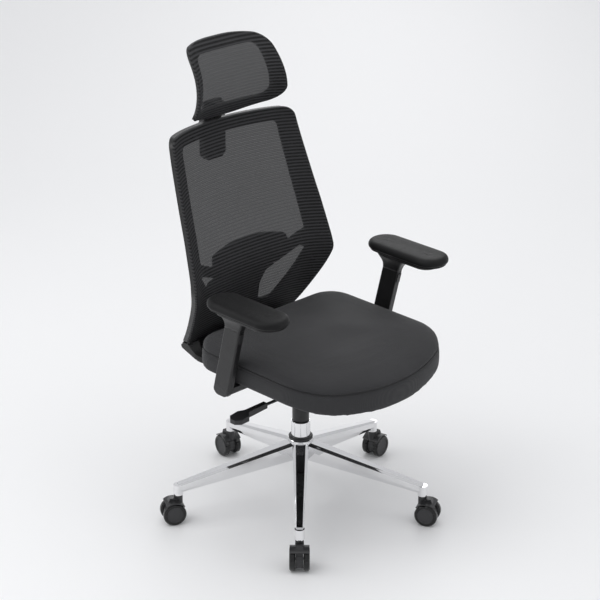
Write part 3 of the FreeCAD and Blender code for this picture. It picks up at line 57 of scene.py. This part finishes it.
class Surface:
    """A procedural material, built up from patterns that follow the object's own coordinates."""

    def __init__(self, name, colour, roughness, **sockets):
        self.material = bpy.data.materials.new(name)
        self.material.use_nodes = True
        self.tree = self.material.node_tree
        self.shader = self.tree.nodes["Principled BSDF"]
        self.shader.inputs["Base Color"].default_value = (*colour, 1)
        self.shader.inputs["Roughness"].default_value = roughness
        for socket, value in sockets.items():
            self.shader.inputs[socket.replace("_", " ")].default_value = value
        self.place = self.add("ShaderNodeTexCoord").outputs["Object"]

    def add(self, kind, **settings):
        node = self.tree.nodes.new(kind)
        for key, value in settings.items():
            setattr(node, key, value)
        return node

    def feed(self, socket, source):
        if hasattr(source, "is_linked"):
            self.tree.links.new(source, socket)
        else:
            socket.default_value = source

    def math(self, operation, first, second=0.0, third=0.0):
        node = self.add("ShaderNodeMath", operation=operation)
        for socket, source in zip(node.inputs, (first, second, third)):
            self.feed(socket, source)
        return node.outputs[0]

    def axis(self, name, scale):
        split = self.add("ShaderNodeSeparateXYZ")
        self.tree.links.new(self.place, split.inputs[0])
        return self.math("MULTIPLY", split.outputs[name], scale)

    def noise(self, scale, detail=3.0, stretch=(1, 1, 1)):
        mapping = self.add("ShaderNodeMapping")
        mapping.inputs["Scale"].default_value = stretch
        self.tree.links.new(self.place, mapping.inputs["Vector"])
        node = self.add("ShaderNodeTexNoise")
        node.inputs["Scale"].default_value = scale
        node.inputs["Detail"].default_value = detail
        self.tree.links.new(mapping.outputs[0], node.inputs["Vector"])
        return node.outputs["Fac"]

    def cells(self, scale):
        node = self.add("ShaderNodeTexVoronoi", feature="DISTANCE_TO_EDGE")
        node.inputs["Scale"].default_value = scale
        self.tree.links.new(self.place, node.inputs["Vector"])
        return node.outputs["Distance"]

    def wave(self, axis, pitch):
        """A sine from 0 to 1 that repeats along an axis."""
        angle = self.axis(axis, 2 * math.pi / pitch)
        return self.math("MULTIPLY_ADD", self.math("SINE", angle), 0.5, 0.5)

    def ramp(self, source, low, high):
        """Maps a value from 0 to 1 to the range from low to high."""
        node = self.add("ShaderNodeMapRange")
        self.tree.links.new(source, node.inputs["Value"])
        node.inputs["To Min"].default_value = low
        node.inputs["To Max"].default_value = high
        return node.outputs["Result"]

    def colours(self, source, dark, light):
        node = self.add("ShaderNodeMix", data_type="RGBA")
        self.tree.links.new(source, node.inputs["Factor"])
        node.inputs[6].default_value = (*dark, 1)
        node.inputs[7].default_value = (*light, 1)
        return node.outputs[2]

    def round_edges(self, radius):
        node = self.add("ShaderNodeBevel", samples=4)
        node.inputs["Radius"].default_value = radius
        self.tree.links.new(node.outputs["Normal"], self.shader.inputs["Normal"])

    def paint(self, socket, source):
        self.tree.links.new(source, self.shader.inputs[socket])

    def bump(self, height, depth):
        """Raises the surface by a height from 0 to 1, times depth in metres."""
        node = self.add("ShaderNodeBump")
        node.inputs["Distance"].default_value = depth
        self.tree.links.new(height, node.inputs["Height"])
        chained = self.shader.inputs["Normal"]
        if chained.is_linked:
            self.tree.links.new(chained.links[0].from_socket, node.inputs["Normal"])
        self.tree.links.new(node.outputs["Normal"], chained)


def grey(level, blue=1.06):
    """A nearly neutral colour from its sRGB level, 0 to 255, leaning a little to blue."""
    share = level / 255
    linear = share / 12.92 if share <= 0.04045 else ((share + 0.055) / 1.055) ** 2.4
    return linear, linear, min(linear * blue, 1)


def moulded_plastic(name, level, roughness, grain=0.00012, scale=900.0):
    surface = Surface(name, grey(level), roughness, Specular_IOR_Level=0.45)
    cloud = surface.noise(18)
    surface.paint("Base Color", surface.colours(cloud, grey(level * 0.86), grey(level * 1.12)))
    surface.paint("Roughness", surface.ramp(surface.noise(60), roughness - 0.06, roughness + 0.08))
    surface.round_edges(0.0016)
    surface.bump(surface.cells(scale), grain)
    return surface.material


def mirror_metal(name, level, roughness):
    surface = Surface(name, grey(level, 1.01), roughness, Metallic=1.0)
    cloud = surface.noise(9)
    surface.paint("Base Color", surface.colours(cloud, grey(level - 7, 1.01), grey(level + 6, 1.01)))
    surface.paint("Roughness", surface.ramp(surface.noise(35), roughness * 0.7, roughness * 1.6))
    surface.bump(surface.noise(26, 1.0), 0.00006)
    return surface.material


def turned_steel(name, level, roughness):
    surface = Surface(name, grey(level, 1.02), roughness, Metallic=1.0)
    grooves = surface.noise(500, 2.0, (1, 1, 8))
    surface.paint("Roughness", surface.ramp(grooves, roughness - 0.08, roughness + 0.12))
    surface.bump(surface.noise(900, 1.0, (1, 1, 10)), 0.00003)
    return surface.material


def powder_coat(name, level, roughness):
    surface = Surface(name, grey(level), roughness)
    surface.paint("Base Color", surface.colours(surface.noise(25), grey(level * 0.88), grey(level * 1.1)))
    surface.bump(surface.noise(1400, 2.0), 0.00010)
    return surface.material


def seat_cloth(name, level):
    """A fine basket weave with a soft sheen and a little unevenness in the dye."""
    surface = Surface(name, grey(level), 0.82, Sheen_Weight=0.10, Sheen_Roughness=0.45,
                      Specular_IOR_Level=0.3)
    warp, weft, rise = (surface.wave(axis, 0.0016) for axis in "XYZ")
    threads = surface.math("ADD", surface.math("MULTIPLY", warp, weft), surface.math("MULTIPLY", rise, 0.4))
    fibre = surface.noise(2200, 2.0)
    cloud = surface.math("ADD", surface.math("MULTIPLY", surface.noise(7), 0.7),
                         surface.math("MULTIPLY", threads, 0.3))
    surface.paint("Base Color", surface.colours(cloud, grey(level * 0.84), grey(level * 1.14)))
    surface.paint("Roughness", surface.ramp(fibre, 0.72, 0.92))
    surface.bump(threads, 0.00022)
    surface.bump(fibre, 0.00010)
    return surface.material


def open_mesh(name, yarn, shaded_gap, pitch):
    """Fine bands of yarn across a net that lets a little of what is behind it through; the net between the
    bands is painted darker than the yarn, as painted shade in the valleys between the ribs.
    """
    surface = Surface(name, grey(yarn), 0.78, Specular_IOR_Level=0.25)
    band = surface.wave("Z", pitch)
    net = surface.math("MULTIPLY", surface.wave("X", 0.0026), surface.wave("Z", 0.00275))
    strand = surface.noise(1500, 2.0, (0.25, 1, 1))
    cloud = surface.math("MULTIPLY_ADD", surface.noise(5), 0.35, -0.17)
    # The net between the yarn bands takes the darker colour: painted shade in the valleys between the ribs.
    surface.paint("Base Color", surface.colours(surface.math("ADD", band, cloud), grey(shaded_gap), grey(yarn)))
    surface.paint("Roughness", surface.ramp(strand, 0.66, 0.86))
    holes = surface.math("MULTIPLY", surface.math("SUBTRACT", 1.0, band), net)
    surface.paint("Alpha", surface.ramp(holes, MESH_SOLID, MESH_OPEN))
    surface.bump(band, 0.0004)
    surface.bump(strand, 0.00012)
    return surface.material


def grained_skin(name, level):
    """The matt, finely grained skin of moulded polyurethane foam."""
    surface = Surface(name, grey(level), 0.50, Specular_IOR_Level=0.20)
    surface.paint("Base Color", surface.colours(surface.noise(14), grey(level * 0.9), grey(level * 1.1)))
    surface.paint("Roughness", surface.ramp(surface.noise(80), 0.43, 0.56))
    surface.bump(surface.cells(520), 0.00018)
    surface.bump(surface.noise(1500, 2.0), 0.00008)
    return surface.material


# Share of the light that the mesh stops, at its yarns and in its holes.
MESH_SOLID, MESH_OPEN = 0.95, 0.80
RIB_PITCH = 8.3

LOOKS = {
    "polished": mirror_metal("polished_aluminium", 236, 0.045),
    "chrome": mirror_metal("chrome_tube", 240, 0.03),
    "steel": turned_steel("turned_steel", 170, 0.30),
    "coat": powder_coat("black_powder_coat", 30, 0.42),
    "frame": moulded_plastic("frame_plastic", 18, 0.28),
    "fine": moulded_plastic("fine_plastic", 34, 0.40),
    "arm": moulded_plastic("arm_plastic", 25, 0.36),
    "hood": moulded_plastic("hood_plastic", 44, 0.30, 0.00008),
    "gloss": moulded_plastic("gloss_plastic", 14, 0.12, 0.00002),
    "wheel": moulded_plastic("wheel_disc_plastic", 52, 0.48),
    "cloth": seat_cloth("seat_cloth", 51),
    # The mesh's net colour (21) is darker than its yarn (58), as painted shade between the ribs.
    "mesh": open_mesh("ribbed_mesh", 58, 21, RIB_PITCH * MM),
    "skin": grained_skin("pad_skin", 18),
    "piping": seat_cloth("piping_cloth", 34),
}

NODE_LOOKS = {
    "polished": ["star_base"],
    "chrome": ["gas_lift_tube"],
    "steel": ["piston_rod", "thrust_bearing", "gas_lift_cylinder", "pivot_shafts", "recline_spring",
              "seat_bolts", "arm_bolts", "back_bolts", "headrest_pin", "arm_post_left", "arm_post_right"],
    "coat": ["mechanism_housing", "lever_rod", "seat_plate", "arm_bracket_left", "arm_bracket_right"],
    "frame": ["back_frame", "back_bar", "headrest_frame", "lumbar_pad", "seat_shell"],
    "fine": ["caster_sockets", "hub_ring", "guide_bush", "valve_button", "tension_knob", "lever_paddle",
             "lumbar_slider", "headrest_bracket", "headrest_post", "arm_button_left", "arm_button_right",
             "arm_pad_base_left", "arm_pad_base_right"],
    "arm": ["arm_sleeve_left", "arm_sleeve_right"],
}


def dress(piece, look):
    piece.data.materials.clear()
    piece.data.materials.append(LOOKS[look])


DISC_RADIUS = 0.0215


def paint_wheels(pair):
    """Matt discs inside a glossy rim and tread."""
    dress(pair, "wheel")
    pair.data.materials.append(LOOKS["gloss"])
    corners = [pair.matrix_world @ Vector(corner) for corner in pair.bound_box]
    middle = sum(corners, Vector()) / 8
    outwards = Vector((middle.x, middle.y, 0)).normalized()
    for face in pair.data.polygons:
        arm = pair.matrix_world @ face.center - middle
        if math.hypot(arm.dot(outwards), arm.z) > DISC_RADIUS:
            face.material_index = 1


def dress_cad_nodes():
    for look, names in NODE_LOOKS.items():
        for name in names:
            dress(nodes[name], look)
    for k in range(1, 6):
        dress(nodes[f"caster_{k}_hood"], "hood")
        dress(nodes[f"caster_{k}_pins"], "steel")
        paint_wheels(nodes[f"caster_{k}_wheels"])
    for piece in nodes.values():
        smooth = piece.modifiers.new("soft_shading", "WEIGHTED_NORMAL")
        smooth.keep_sharp = True
        piece.data.set_sharp_from_angle(angle=math.radians(32))
        piece.data.polygons.foreach_set("use_smooth", [True] * len(piece.data.polygons))


# ---------------------------------------------------------------- mesh tools

def make_piece(name, points, faces, look, body):
    """A smooth-shaded mesh that rides a body, both left out where they are None."""
    mesh = bpy.data.meshes.new(name)
    mesh.from_pydata([tuple(p) for p in points], [], faces)
    mesh.validate()
    tidy = bmesh.new()
    tidy.from_mesh(mesh)
    bmesh.ops.recalc_face_normals(tidy, faces=tidy.faces)
    tidy.to_mesh(mesh)
    tidy.free()
    mesh.polygons.foreach_set("use_smooth", [True] * len(mesh.polygons))
    piece = bpy.data.objects.new(name, mesh)
    bpy.context.scene.collection.objects.link(piece)
    if look:
        dress(piece, look)
    if body:
        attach(piece, body)
    return piece


def ring_faces(rings, count, capped=True):
    """Quads between closed rings of points that follow each other, and a cap at each end."""
    faces = []
    for r in range(rings - 1):
        for i in range(count):
            j = (i + 1) % count
            faces.append((r * count + i, r * count + j, (r + 1) * count + j, (r + 1) * count + i))
    if capped:
        faces.append(tuple(range(count)))
        faces.append(tuple(range((rings - 1) * count, rings * count)))
    return faces


def grid_faces(rows, columns):
    return [(r * columns + c, r * columns + c + 1, (r + 1) * columns + c + 1, (r + 1) * columns + c)
            for r in range(rows - 1) for c in range(columns - 1)]


def subdivide(piece, levels=1):
    modifier = piece.modifiers.new("subdivision", "SUBSURF")
    modifier.levels = modifier.render_levels = levels


def apply_modifiers(piece):
    baked = bpy.data.meshes.new_from_object(piece.evaluated_get(bpy.context.evaluated_depsgraph_get()))
    piece.modifiers.clear()
    piece.data = baked


# ---------------------------------------------------------------- backrest and headrest cloth

# Height and depth of points on the centre line of the back's front, in millimetres.
BACK_LINE = ((420, 253), (430, 248), (480, 223), (545, 196), (620, 181), (700, 196), (820, 238), (940, 277),
             (1000, 291))


def blend(z, low, high, low_value, high_value):
    return low_value + (high_value - low_value) * min(max((z - low) / (high - low), 0), 1)


def line_depth(z):
    """Depth of the back's centre line at a height, in millimetres, by a cubic through its neighbours."""
    points = BACK_LINE
    i = max(k for k in range(len(points) - 1) if points[k][0] <= max(z, points[0][0]))
    (z0, y0), (z1, y1) = points[i], points[i + 1]
    before, after = points[max(i - 1, 0)], points[min(i + 2, len(points) - 1)]
    slope0 = (y1 - before[1]) / (z1 - before[0])
    slope1 = (after[1] - y0) / (after[0] - z0)
    share, span = (z - z0) / (z1 - z0), z1 - z0
    return ((2 * share ** 3 - 3 * share ** 2 + 1) * y0 + (share ** 3 - 2 * share ** 2 + share) * span * slope0
            + (3 * share ** 2 - 2 * share ** 3) * y1 + (share ** 3 - share ** 2) * span * slope1)


def back_depth(x, z):
    """Front of the back, dished in plan and with steeper wings at the sides, in millimetres."""
    dish = blend(z, 700, 960, 0.00045, 0.00100)
    wing = blend(z, 730, 950, 0.60, 0.25)
    start = blend(z, 730, 950, 185, 165)
    return line_depth(z) - dish * x * x - wing * 12 * math.log(1 + math.exp((abs(x) - start) / 12))


def head_depth(x, z):
    """Front of the headrest, bowed forwards in height and dished in plan, in millimetres."""
    return 239 + 0.005 * (z - 1095) ** 2 - 0.0002 * x * x - 7.5e-8 * x ** 4


def side_chain(corners, radii, steps=16):
    """The right-hand edge of an outline from bottom to top, its corners rounded, as two arrays."""
    chain = []
    for i in range(1, len(corners) - 1):
        before, here, after = (np.array(corners[i + k], float) for k in (-1, 0, 1))
        back, forth = before - here, after - here
        back, forth = back / np.linalg.norm(back), forth / np.linalg.norm(forth)
        half = math.acos(np.clip(back @ forth, -1, 1)) / 2
        reach = radii[i - 1] / math.tan(half)
        start, end = here + back * reach, here + forth * reach
        pull = math.sin(half)
        for t in np.linspace(0, 1, steps):
            weights = (1 - t) ** 2, 2 * t * (1 - t) * pull, t ** 2
            chain.append((weights[0] * start + weights[1] * here + weights[2] * end) / sum(weights))
    chain = np.array(chain)
    return chain[:, 1], chain[:, 0]


# The cloth's edge from the rim to behind it: distance outside the outline and distance backwards.
WRAP = ((1.2, 0.6), (2.0, 2.2), (2.2, 4.6), (1.9, 7.5))
RIB_HEIGHT, SHEET_INSET = 0.22, 0.3


class Relief:
    """The front surface of a CAD node, with a formula for the points just outside it."""

    def __init__(self, node, formula):
        piece = nodes[node]
        mesh = piece.data.copy()
        mesh.transform(piece.matrix_world)
        tidy = bmesh.new()
        tidy.from_mesh(mesh)
        self.tree = BVHTree.FromBMesh(tidy)
        tidy.free()
        bpy.data.meshes.remove(mesh)
        self.formula = formula

    def depth(self, x, z):
        """Depth in millimetres; x and z may lie a little outside the node's outline."""
        for share in (1.0, 0.99, 0.97, 0.93):
            start = Vector((x * share * MM, -1, z * MM))
            hit = self.tree.ray_cast(start, Vector((0, 1, 0)))[0]
            if hit:
                return hit.y / MM + self.formula(x, z) - self.formula(x * share, z)
        return self.formula(x, z) - 1.5


def rim_normals(loop, reach=6.0):
    """Outward directions round a closed loop, each from the chord over a few millimetres either side."""
    closed = np.vstack([loop, loop, loop])
    travelled = np.concatenate([[0], np.cumsum(np.linalg.norm(np.diff(closed, axis=0), axis=1))])
    here = travelled[len(loop):2 * len(loop)]
    ahead, back = (np.column_stack([np.interp(here + sign * reach, travelled, closed[:, k]) for k in (0, 1)])
                   for sign in (1, -1))
    chord = ahead - back
    return np.column_stack([chord[:, 1], -chord[:, 0]]) / np.linalg.norm(chord, axis=1, keepdims=True)


def stretched_sheet(name, body, node, formula, chain, columns):
    """Ribbed cloth stretched over a frame and wrapped round its rim."""
    heights, widths = chain
    surface = Relief(node, formula)
    low, high = heights[0], heights[-1]
    even = np.linspace(low, high, int((high - low) / RIB_PITCH * 5))
    levels = np.unique(np.round(np.concatenate([even, heights]), 2))
    points = []
    for z in levels:
        width = np.interp(z, heights, widths)
        lift = RIB_HEIGHT * math.sin(2 * math.pi * z / RIB_PITCH)
        points += [(x, surface.depth(x, z) + SHEET_INSET - lift, z)
                   for x in np.linspace(-width, width, columns)]
    rows = len(levels)
    faces = grid_faces(rows, columns)
    rim = list(range(columns))
    rim += [r * columns + columns - 1 for r in range(1, rows)]
    rim += [(rows - 1) * columns + c for c in range(columns - 2, -1, -1)]
    rim += [r * columns for r in range(rows - 2, 0, -1)]
    outwards = rim_normals(np.array([points[i] for i in rim])[:, (0, 2)])
    before = rim
    for out, behind in WRAP:
        ring = list(range(len(points), len(points) + len(rim)))
        points += [(points[i][0] + out * n[0], points[i][1] + behind, points[i][2] + out * n[1])
                   for i, n in zip(rim, outwards)]
        faces += [(before[k], before[(k + 1) % len(rim)], ring[(k + 1) % len(rim)], ring[k])
                  for k in range(len(rim))]
        before = ring
    points = [(x * MM, y * MM, z * MM) for x, y, z in points]
    piece = make_piece(name, points, faces, "mesh", body)
    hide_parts(node)


def make_cloths():
    chain = side_chain([(0, 440), (183, 440), (241, 622), (204, 988), (0, 988)], [14, 60, 24])
    stretched_sheet("back_cloth", "back", "back_mesh", back_depth, chain, 64)
    chain = side_chain([(0, 1004), (60, 1004), (155, 1030), (130, 1192), (60, 1203), (0, 1203)],
                       [430, 42, 38, 540])
    stretched_sheet("headrest_cloth", "headrest", "headrest_mesh", head_depth, chain, 48)


# ---------------------------------------------------------------- seat cushion

# Plan of the cushion in millimetres: half its width, where it ends, where the nose starts, and its corners.
SEAT = {"half": 255, "front": -345, "rear": 145, "nose": -190, "corner": 130, "rear_corner": 80}


def seat_outline(inset, count):
    """Evenly spaced points round the seat's plan at a distance inside its edge, in millimetres."""
    half, front, rear = SEAT["half"] - inset, SEAT["front"] + inset, SEAT["rear"] - inset
    corner = max(SEAT["corner"] - inset, 20)
    rear_corner = max(SEAT["rear_corner"] - inset, 16)
    depth = SEAT["nose"] - front
    nose = ((half - corner) ** 2 + depth ** 2 - corner ** 2) / (2 * (depth - corner))
    meeting = math.atan2(half - corner, nose - depth)
    side = [(nose * math.sin(a), front + nose * (1 - math.cos(a))) for a in np.linspace(0, meeting, 24)]
    side += [(half - corner + corner * math.sin(a), SEAT["nose"] - corner * math.cos(a))
             for a in np.linspace(meeting, math.pi / 2, 24)[1:]]
    side += [(half - rear_corner + rear_corner * math.cos(a), rear - rear_corner + rear_corner * math.sin(a))
             for a in np.linspace(0, math.pi / 2, 20)]
    side.append((0, rear))
    loop = np.array(side + [(-x, y) for x, y in reversed(side[1:-1])])
    closed = np.vstack([loop, loop[:1]])
    travelled = np.concatenate([[0], np.cumsum(np.linalg.norm(np.diff(closed, axis=0), axis=1))])
    wanted = np.linspace(0, travelled[-1], count, endpoint=False)
    return np.column_stack([np.interp(wanted, travelled, closed[:, k]) for k in (0, 1)])


def nose_share(y):
    """How far a point has dipped with the nose, from 0 on the level part to 1 at the front edge."""
    return min(max((SEAT["nose"] - y) / (SEAT["nose"] - SEAT["front"]), 0), 1) ** 2


def seat_level(y, level, front_level):
    return level + (front_level - level) * nose_share(y)


SEAT_POINTS = 220
# Rings from the underside over the side and the seam to the crown: inset, and share of the height of
# the side (0 to 1) or of the crown above the seam (1 to 2).
SEAT_RINGS = ((50, 0.0), (16, 0.0), (7, 0.03), (3.5, 0.14), (2.5, 0.4), (3, 0.75), (5, 0.97), (5, 1.03),
              (4.5, 1.25), (8, 1.5), (16, 1.7), (30, 1.84), (50, 1.92), (85, 1.96), (125, 1.98), (165, 1.99),
              (205, 2.0), (232, 2.0))
# Heights on the level part of the seat and at its front edge.
UNDERSIDE, SEAM, CROWN = (434, 398), (486, 462), (520, 488)
SEAT_CENTRE = np.array([0, -100])
LAST_OUTLINE = 50


def seat_shape():
    points = []
    for inset, share in SEAT_RINGS:
        ring = seat_outline(min(inset, LAST_OUTLINE), SEAT_POINTS)
        ring = SEAT_CENTRE + (ring - SEAT_CENTRE) * (1 - max(inset - LAST_OUTLINE, 0) / 195)
        for x, y in ring:
            bottom, seam, top = (seat_level(y, *levels) for levels in (UNDERSIDE, SEAM, CROWN))
            z = bottom + (seam - bottom) * share if share <= 1 else seam + (top - seam) * (share - 1)
            points.append((x * MM, y * MM, z * MM))
    return points


def inflate(piece, voxel, pressure, cap, held):
    """Swells a closed mesh like a filled cover; points where held is true stay where they are."""
    remesh = piece.modifiers.new("remesh", "REMESH")
    remesh.mode = "VOXEL"
    remesh.voxel_size = voxel
    apply_modifiers(piece)
    count = len(piece.data.vertices)
    start = np.empty(count * 3)
    piece.data.vertices.foreach_get("co", start)
    start = start.reshape(-1, 3)
    pins = piece.vertex_groups.new(name="held")
    pins.add([i for i in range(count) if held(*start[i])], 1.0, "REPLACE")
    cloth = piece.modifiers.new("cover", "CLOTH")
    cloth.settings.effector_weights.gravity = 0
    cloth.settings.use_pressure = True
    cloth.settings.uniform_pressure_force = pressure
    cloth.settings.vertex_group_mass = "held"
    cloth.settings.quality = 6
    cloth.settings.shrink_min = 0.02
    cloth.settings.bending_stiffness = 12
    cloth.settings.tension_stiffness = cloth.settings.compression_stiffness = 40
    scene = bpy.context.scene
    for step in range(1, 21):
        scene.frame_set(step)
    moved = piece.evaluated_get(bpy.context.evaluated_depsgraph_get()).data
    end = np.empty(count * 3)
    moved.vertices.foreach_get("co", end)
    change = end.reshape(-1, 3) - start
    length = np.linalg.norm(change, axis=1, keepdims=True)
    change *= np.minimum(1, cap / np.maximum(length, 1e-9))
    change = relax(piece.data, change, 60)
    piece.modifiers.clear()
    piece.vertex_groups.clear()
    piece.data.vertices.foreach_set("co", (start + change).ravel())
    piece.data.update()
    scene.frame_set(1)


def relax(mesh, change, rounds):
    """Spreads a displacement evenly over its neighbours, as a cover under tension does."""
    pairs = np.empty(len(mesh.edges) * 2, dtype=int)
    mesh.edges.foreach_get("vertices", pairs)
    first, second = pairs.reshape(-1, 2).T
    degree = np.bincount(pairs, minlength=len(change))[:, None]
    moving = (np.linalg.norm(change, axis=1, keepdims=True) > 1e-5).astype(float)
    for _ in range(rounds):
        total = np.zeros_like(change)
        np.add.at(total, first, change[second])
        np.add.at(total, second, change[first])
        change = (change + total / degree) / 2 * moving
    return change


def seam_line(count=400):
    return [Vector((x * MM, y * MM, seat_level(y, *SEAM) * MM)) for x, y in seat_outline(2.5, count)]


SEAT_MIDDLE = (0, -0.1, 0.47)
SEAM_REACH, SEAM_DEPTH, SEAM_WIDTH = 0.02, 0.0024, 0.006


def sew(cushion, line):
    """Pulls the cushion in along its seam."""
    count = len(cushion.data.vertices)
    places = np.empty(count * 3)
    cushion.data.vertices.foreach_get("co", places)
    places = places.reshape(-1, 3)
    seam = np.array([tuple(p) for p in line])
    centre = np.array(SEAT_MIDDLE)
    for i in range(count):
        shaded_gap = np.linalg.norm(seam - places[i], axis=1).min()
        if shaded_gap < SEAM_REACH:
            inward = centre - places[i]
            inward[2] *= 0.3
            groove = SEAM_DEPTH * math.exp(-(shaded_gap / SEAM_WIDTH) ** 2)
            places[i] += inward / np.linalg.norm(inward) * groove
    cushion.data.vertices.foreach_set("co", places.ravel())
    cushion.data.update()


def make_seat():
    points = seat_shape()
    cushion = make_piece("seat_pad", points, ring_faces(len(SEAT_RINGS), SEAT_POINTS), "cloth", None)
    inflate(cushion, 0.006, 2.0, 0.006,
            lambda x, y, z: z * 1000 < seat_level(y * 1000, *SEAM) + 3)
    subdivide(cushion)
    apply_modifiers(cushion)
    line = seam_line()
    sew(cushion, line)
    dress(cushion, "cloth")
    cushion.data.polygons.foreach_set("use_smooth", [True] * len(cushion.data.polygons))
    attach(cushion, "seat")
    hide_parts("seat_cushion")
    tree = BVHTree.FromObject(cushion, bpy.context.evaluated_depsgraph_get())
    path = []
    for point in line:
        outside = point + (point - Vector(SEAT_MIDDLE)).normalized() * 0.05
        hit = tree.find_nearest(point)[0]
        path.append(hit + (outside - hit).normalized() * 0.0002)
    make_tube("seat_piping", path, 0.0017, "piping", "seat")


def make_tube(name, path, radius, look, body, sides=10):
    """A closed cord of round section along a closed path."""
    rings = []
    count = len(path)
    for i in range(count):
        along = (path[(i + 1) % count] - path[i - 1]).normalized()
        across = along.cross(Vector((0, 0, 1))).normalized()
        up = across.cross(along)
        rings += [path[i] + (across * math.cos(a) + up * math.sin(a)) * radius
                  for a in np.linspace(0, 2 * math.pi, sides, endpoint=False)]
    faces = ring_faces(count, sides, capped=False)
    last = (count - 1) * sides
    faces += [(last + k, last + (k + 1) % sides, (k + 1) % sides, k) for k in range(sides)]
    piece = make_piece(name, rings, faces, look, body)


# ---------------------------------------------------------------- arm rests

PAD_POINTS = 72


def stadium_ring(length, width, inset, z, centre):
    """Points round a slab with round ends along Y, in millimetres about a centre."""
    radius = width / 2 - inset
    reach = length / 2 - width / 2
    ring = []
    for i in range(PAD_POINTS):
        angle = 2 * math.pi * i / PAD_POINTS
        shift = reach if math.sin(angle) > 1e-9 else -reach
        ring.append((centre[0] + radius * math.cos(angle), centre[1] + shift + radius * math.sin(angle), z))
    return ring


# Side of an arm pad from the underside to the middle of its top: inset and height.
PAD_PROFILE = ((30, 0.5), (9, 0.3), (5.5, 1.5), (4.6, 4), (4.4, 6.4), (2.2, 7.4), (0.6, 9), (0, 12),
               (0.2, 15.5), (1.6, 19.5), (4.4, 22.8), (8.5, 24.9), (14, 25.9), (24, 26.1), (36, 25.8),
               (44, 25.6))


def make_arm_pads():
    for side in SIDES:
        low, high = (corner * 1000 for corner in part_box(f"arm_pad_{side}"))
        centre = ((low.x + high.x) / 2, (low.y + high.y) / 2)
        points = []
        for inset, rise in PAD_PROFILE:
            points += stadium_ring(high.y - low.y, high.x - low.x, inset, low.z + rise, centre)
        points = [(x * MM, y * MM, z * MM) for x, y, z in points]
        faces = ring_faces(len(PAD_PROFILE), PAD_POINTS)
        pad = make_piece(f"arm_rest_{side}", points, faces, "skin", f"pad_{side}")
        subdivide(pad, 2)
        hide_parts(f"arm_pad_{side}")


# Flare under a pad: height, half width and half length of each ring, in millimetres.
FLARE = ((600, 10.4, 27.2), (606, 10.9, 27.8), (614, 12.0, 30.0), (622, 14.6, 34.5), (630, 18.4, 41.0),
         (636, 21.5, 46.0), (639.4, 22.4, 47.5))
ARM_LEAN = math.radians(14.1)
ARM_X, ARM_FOOT_Y, ARM_FOOT_Z = 278, -11, 424


def make_flares():
    """The widening head of each arm's sleeve, up to just below the sliding pad."""
    for side, sign in zip(SIDES, (1, -1)):
        points = []
        for z, half_x, half_y in FLARE:
            middle = ARM_FOOT_Y - (z - ARM_FOOT_Z) * math.tan(ARM_LEAN)
            corner = min(half_x, half_y) * 0.55
            for turn in range(4):
                for a in np.linspace(turn * math.pi / 2, (turn + 1) * math.pi / 2, 7):
                    quadrant = turn * math.pi / 2 + 0.5
                    x = math.copysign(half_x - corner, math.cos(quadrant)) + corner * math.cos(a)
                    y = math.copysign(half_y - corner, math.sin(quadrant)) + corner * math.sin(a)
                    points.append(((sign * ARM_X + x) * MM, (middle + y) * MM, z * MM))
        flare = make_piece(f"arm_flare_{side}", points, ring_faces(len(FLARE), 28), "arm", f"arm_{side}")


# ---------------------------------------------------------------- studio

def make_studio():
    """A sheet of pale paper under the chair that curves up behind it, square to the camera, and the sky."""
    size, wall, turn = 9.0, 2.4, 2.6
    profile = [(-size, 0.0), (wall, 0.0)]
    profile += [(wall + turn * math.sin(a), turn - turn * math.cos(a))
                for a in np.linspace(0, math.pi / 2, 24)[1:]]
    profile.append((wall + turn, size))
    look = Vector((0.7009, 0.7133, 0))
    side = Vector((look.y, -look.x, 0))
    points = []
    for along, height in profile:
        for across in (-size, size):
            points.append(look * along + side * across + Vector((0, 0, height)))
    faces = [(2 * i, 2 * i + 1, 2 * i + 3, 2 * i + 2) for i in range(len(profile) - 1)]
    floor = make_piece("studio_floor", points, faces, None, None)
    surface = Surface("studio_paper", (0.90, 0.90, 0.905), 0.55, Specular_IOR_Level=0.2)
    surface.paint("Base Color", surface.colours(surface.noise(0.4), (0.89, 0.89, 0.895), (0.91, 0.91, 0.915)))
    floor.data.materials.append(surface.material)
    world = bpy.data.worlds.new("studio_world")
    bpy.context.scene.world = world
    world.use_nodes = True
    world.node_tree.nodes["Background"].inputs["Color"].default_value = (0.93, 0.94, 0.96, 1)
    world.node_tree.nodes["Background"].inputs["Strength"].default_value = 0.66


def lamp(name, place, target, size, power, colour=(1, 1, 1)):
    data = bpy.data.lights.new(name, "AREA")
    data.shape = "RECTANGLE"
    data.size, data.size_y = size
    data.energy = power
    data.color = colour
    light = bpy.data.objects.new(name, data)
    light.location = place
    light.rotation_euler = (Vector(target) - Vector(place)).to_track_quat("-Z", "Y").to_euler()
    bpy.context.scene.collection.objects.link(light)


def make_lights():
    lamp("key", (-2.2, 0.6, 3.6), (0, 0, 0.5), (3.0, 2.2), 33)
    lamp("top", (0.3, -0.2, 4.2), (0, 0, 0.4), (4.0, 4.0), 38)
    lamp("fill", (1.6, -3.4, 2.0), (0, 0, 0.6), (2.6, 1.8), 12)
    lamp("rim", (2.6, 2.2, 2.4), (0, 0, 0.7), (1.2, 2.6), 14)
    lamp("edge", (-1.95, 1.98, 1.77), (0, 0, 0.7), (1.2, 1.8), 11)


def make_camera():
    camera = bpy.data.cameras.new("camera")
    camera.sensor_width = 36
    camera.lens = 120.2
    camera.clip_end = 60
    holder = bpy.data.objects.new("camera", camera)
    holder.location = (-3.2619, -3.3167, 2.5429)
    target = Vector((-0.0013, 0.0013, 0.5773))
    holder.rotation_euler = (target - holder.location).to_track_quat("-Z", "Y").to_euler()
    bpy.context.scene.collection.objects.link(holder)
    bpy.context.scene.camera = holder
    bpy.context.scene.view_settings.view_transform = "Standard"


make_camera()
dress_cad_nodes()
make_cloths()
make_seat()
make_arm_pads()
make_flares()
make_studio()
make_lights()
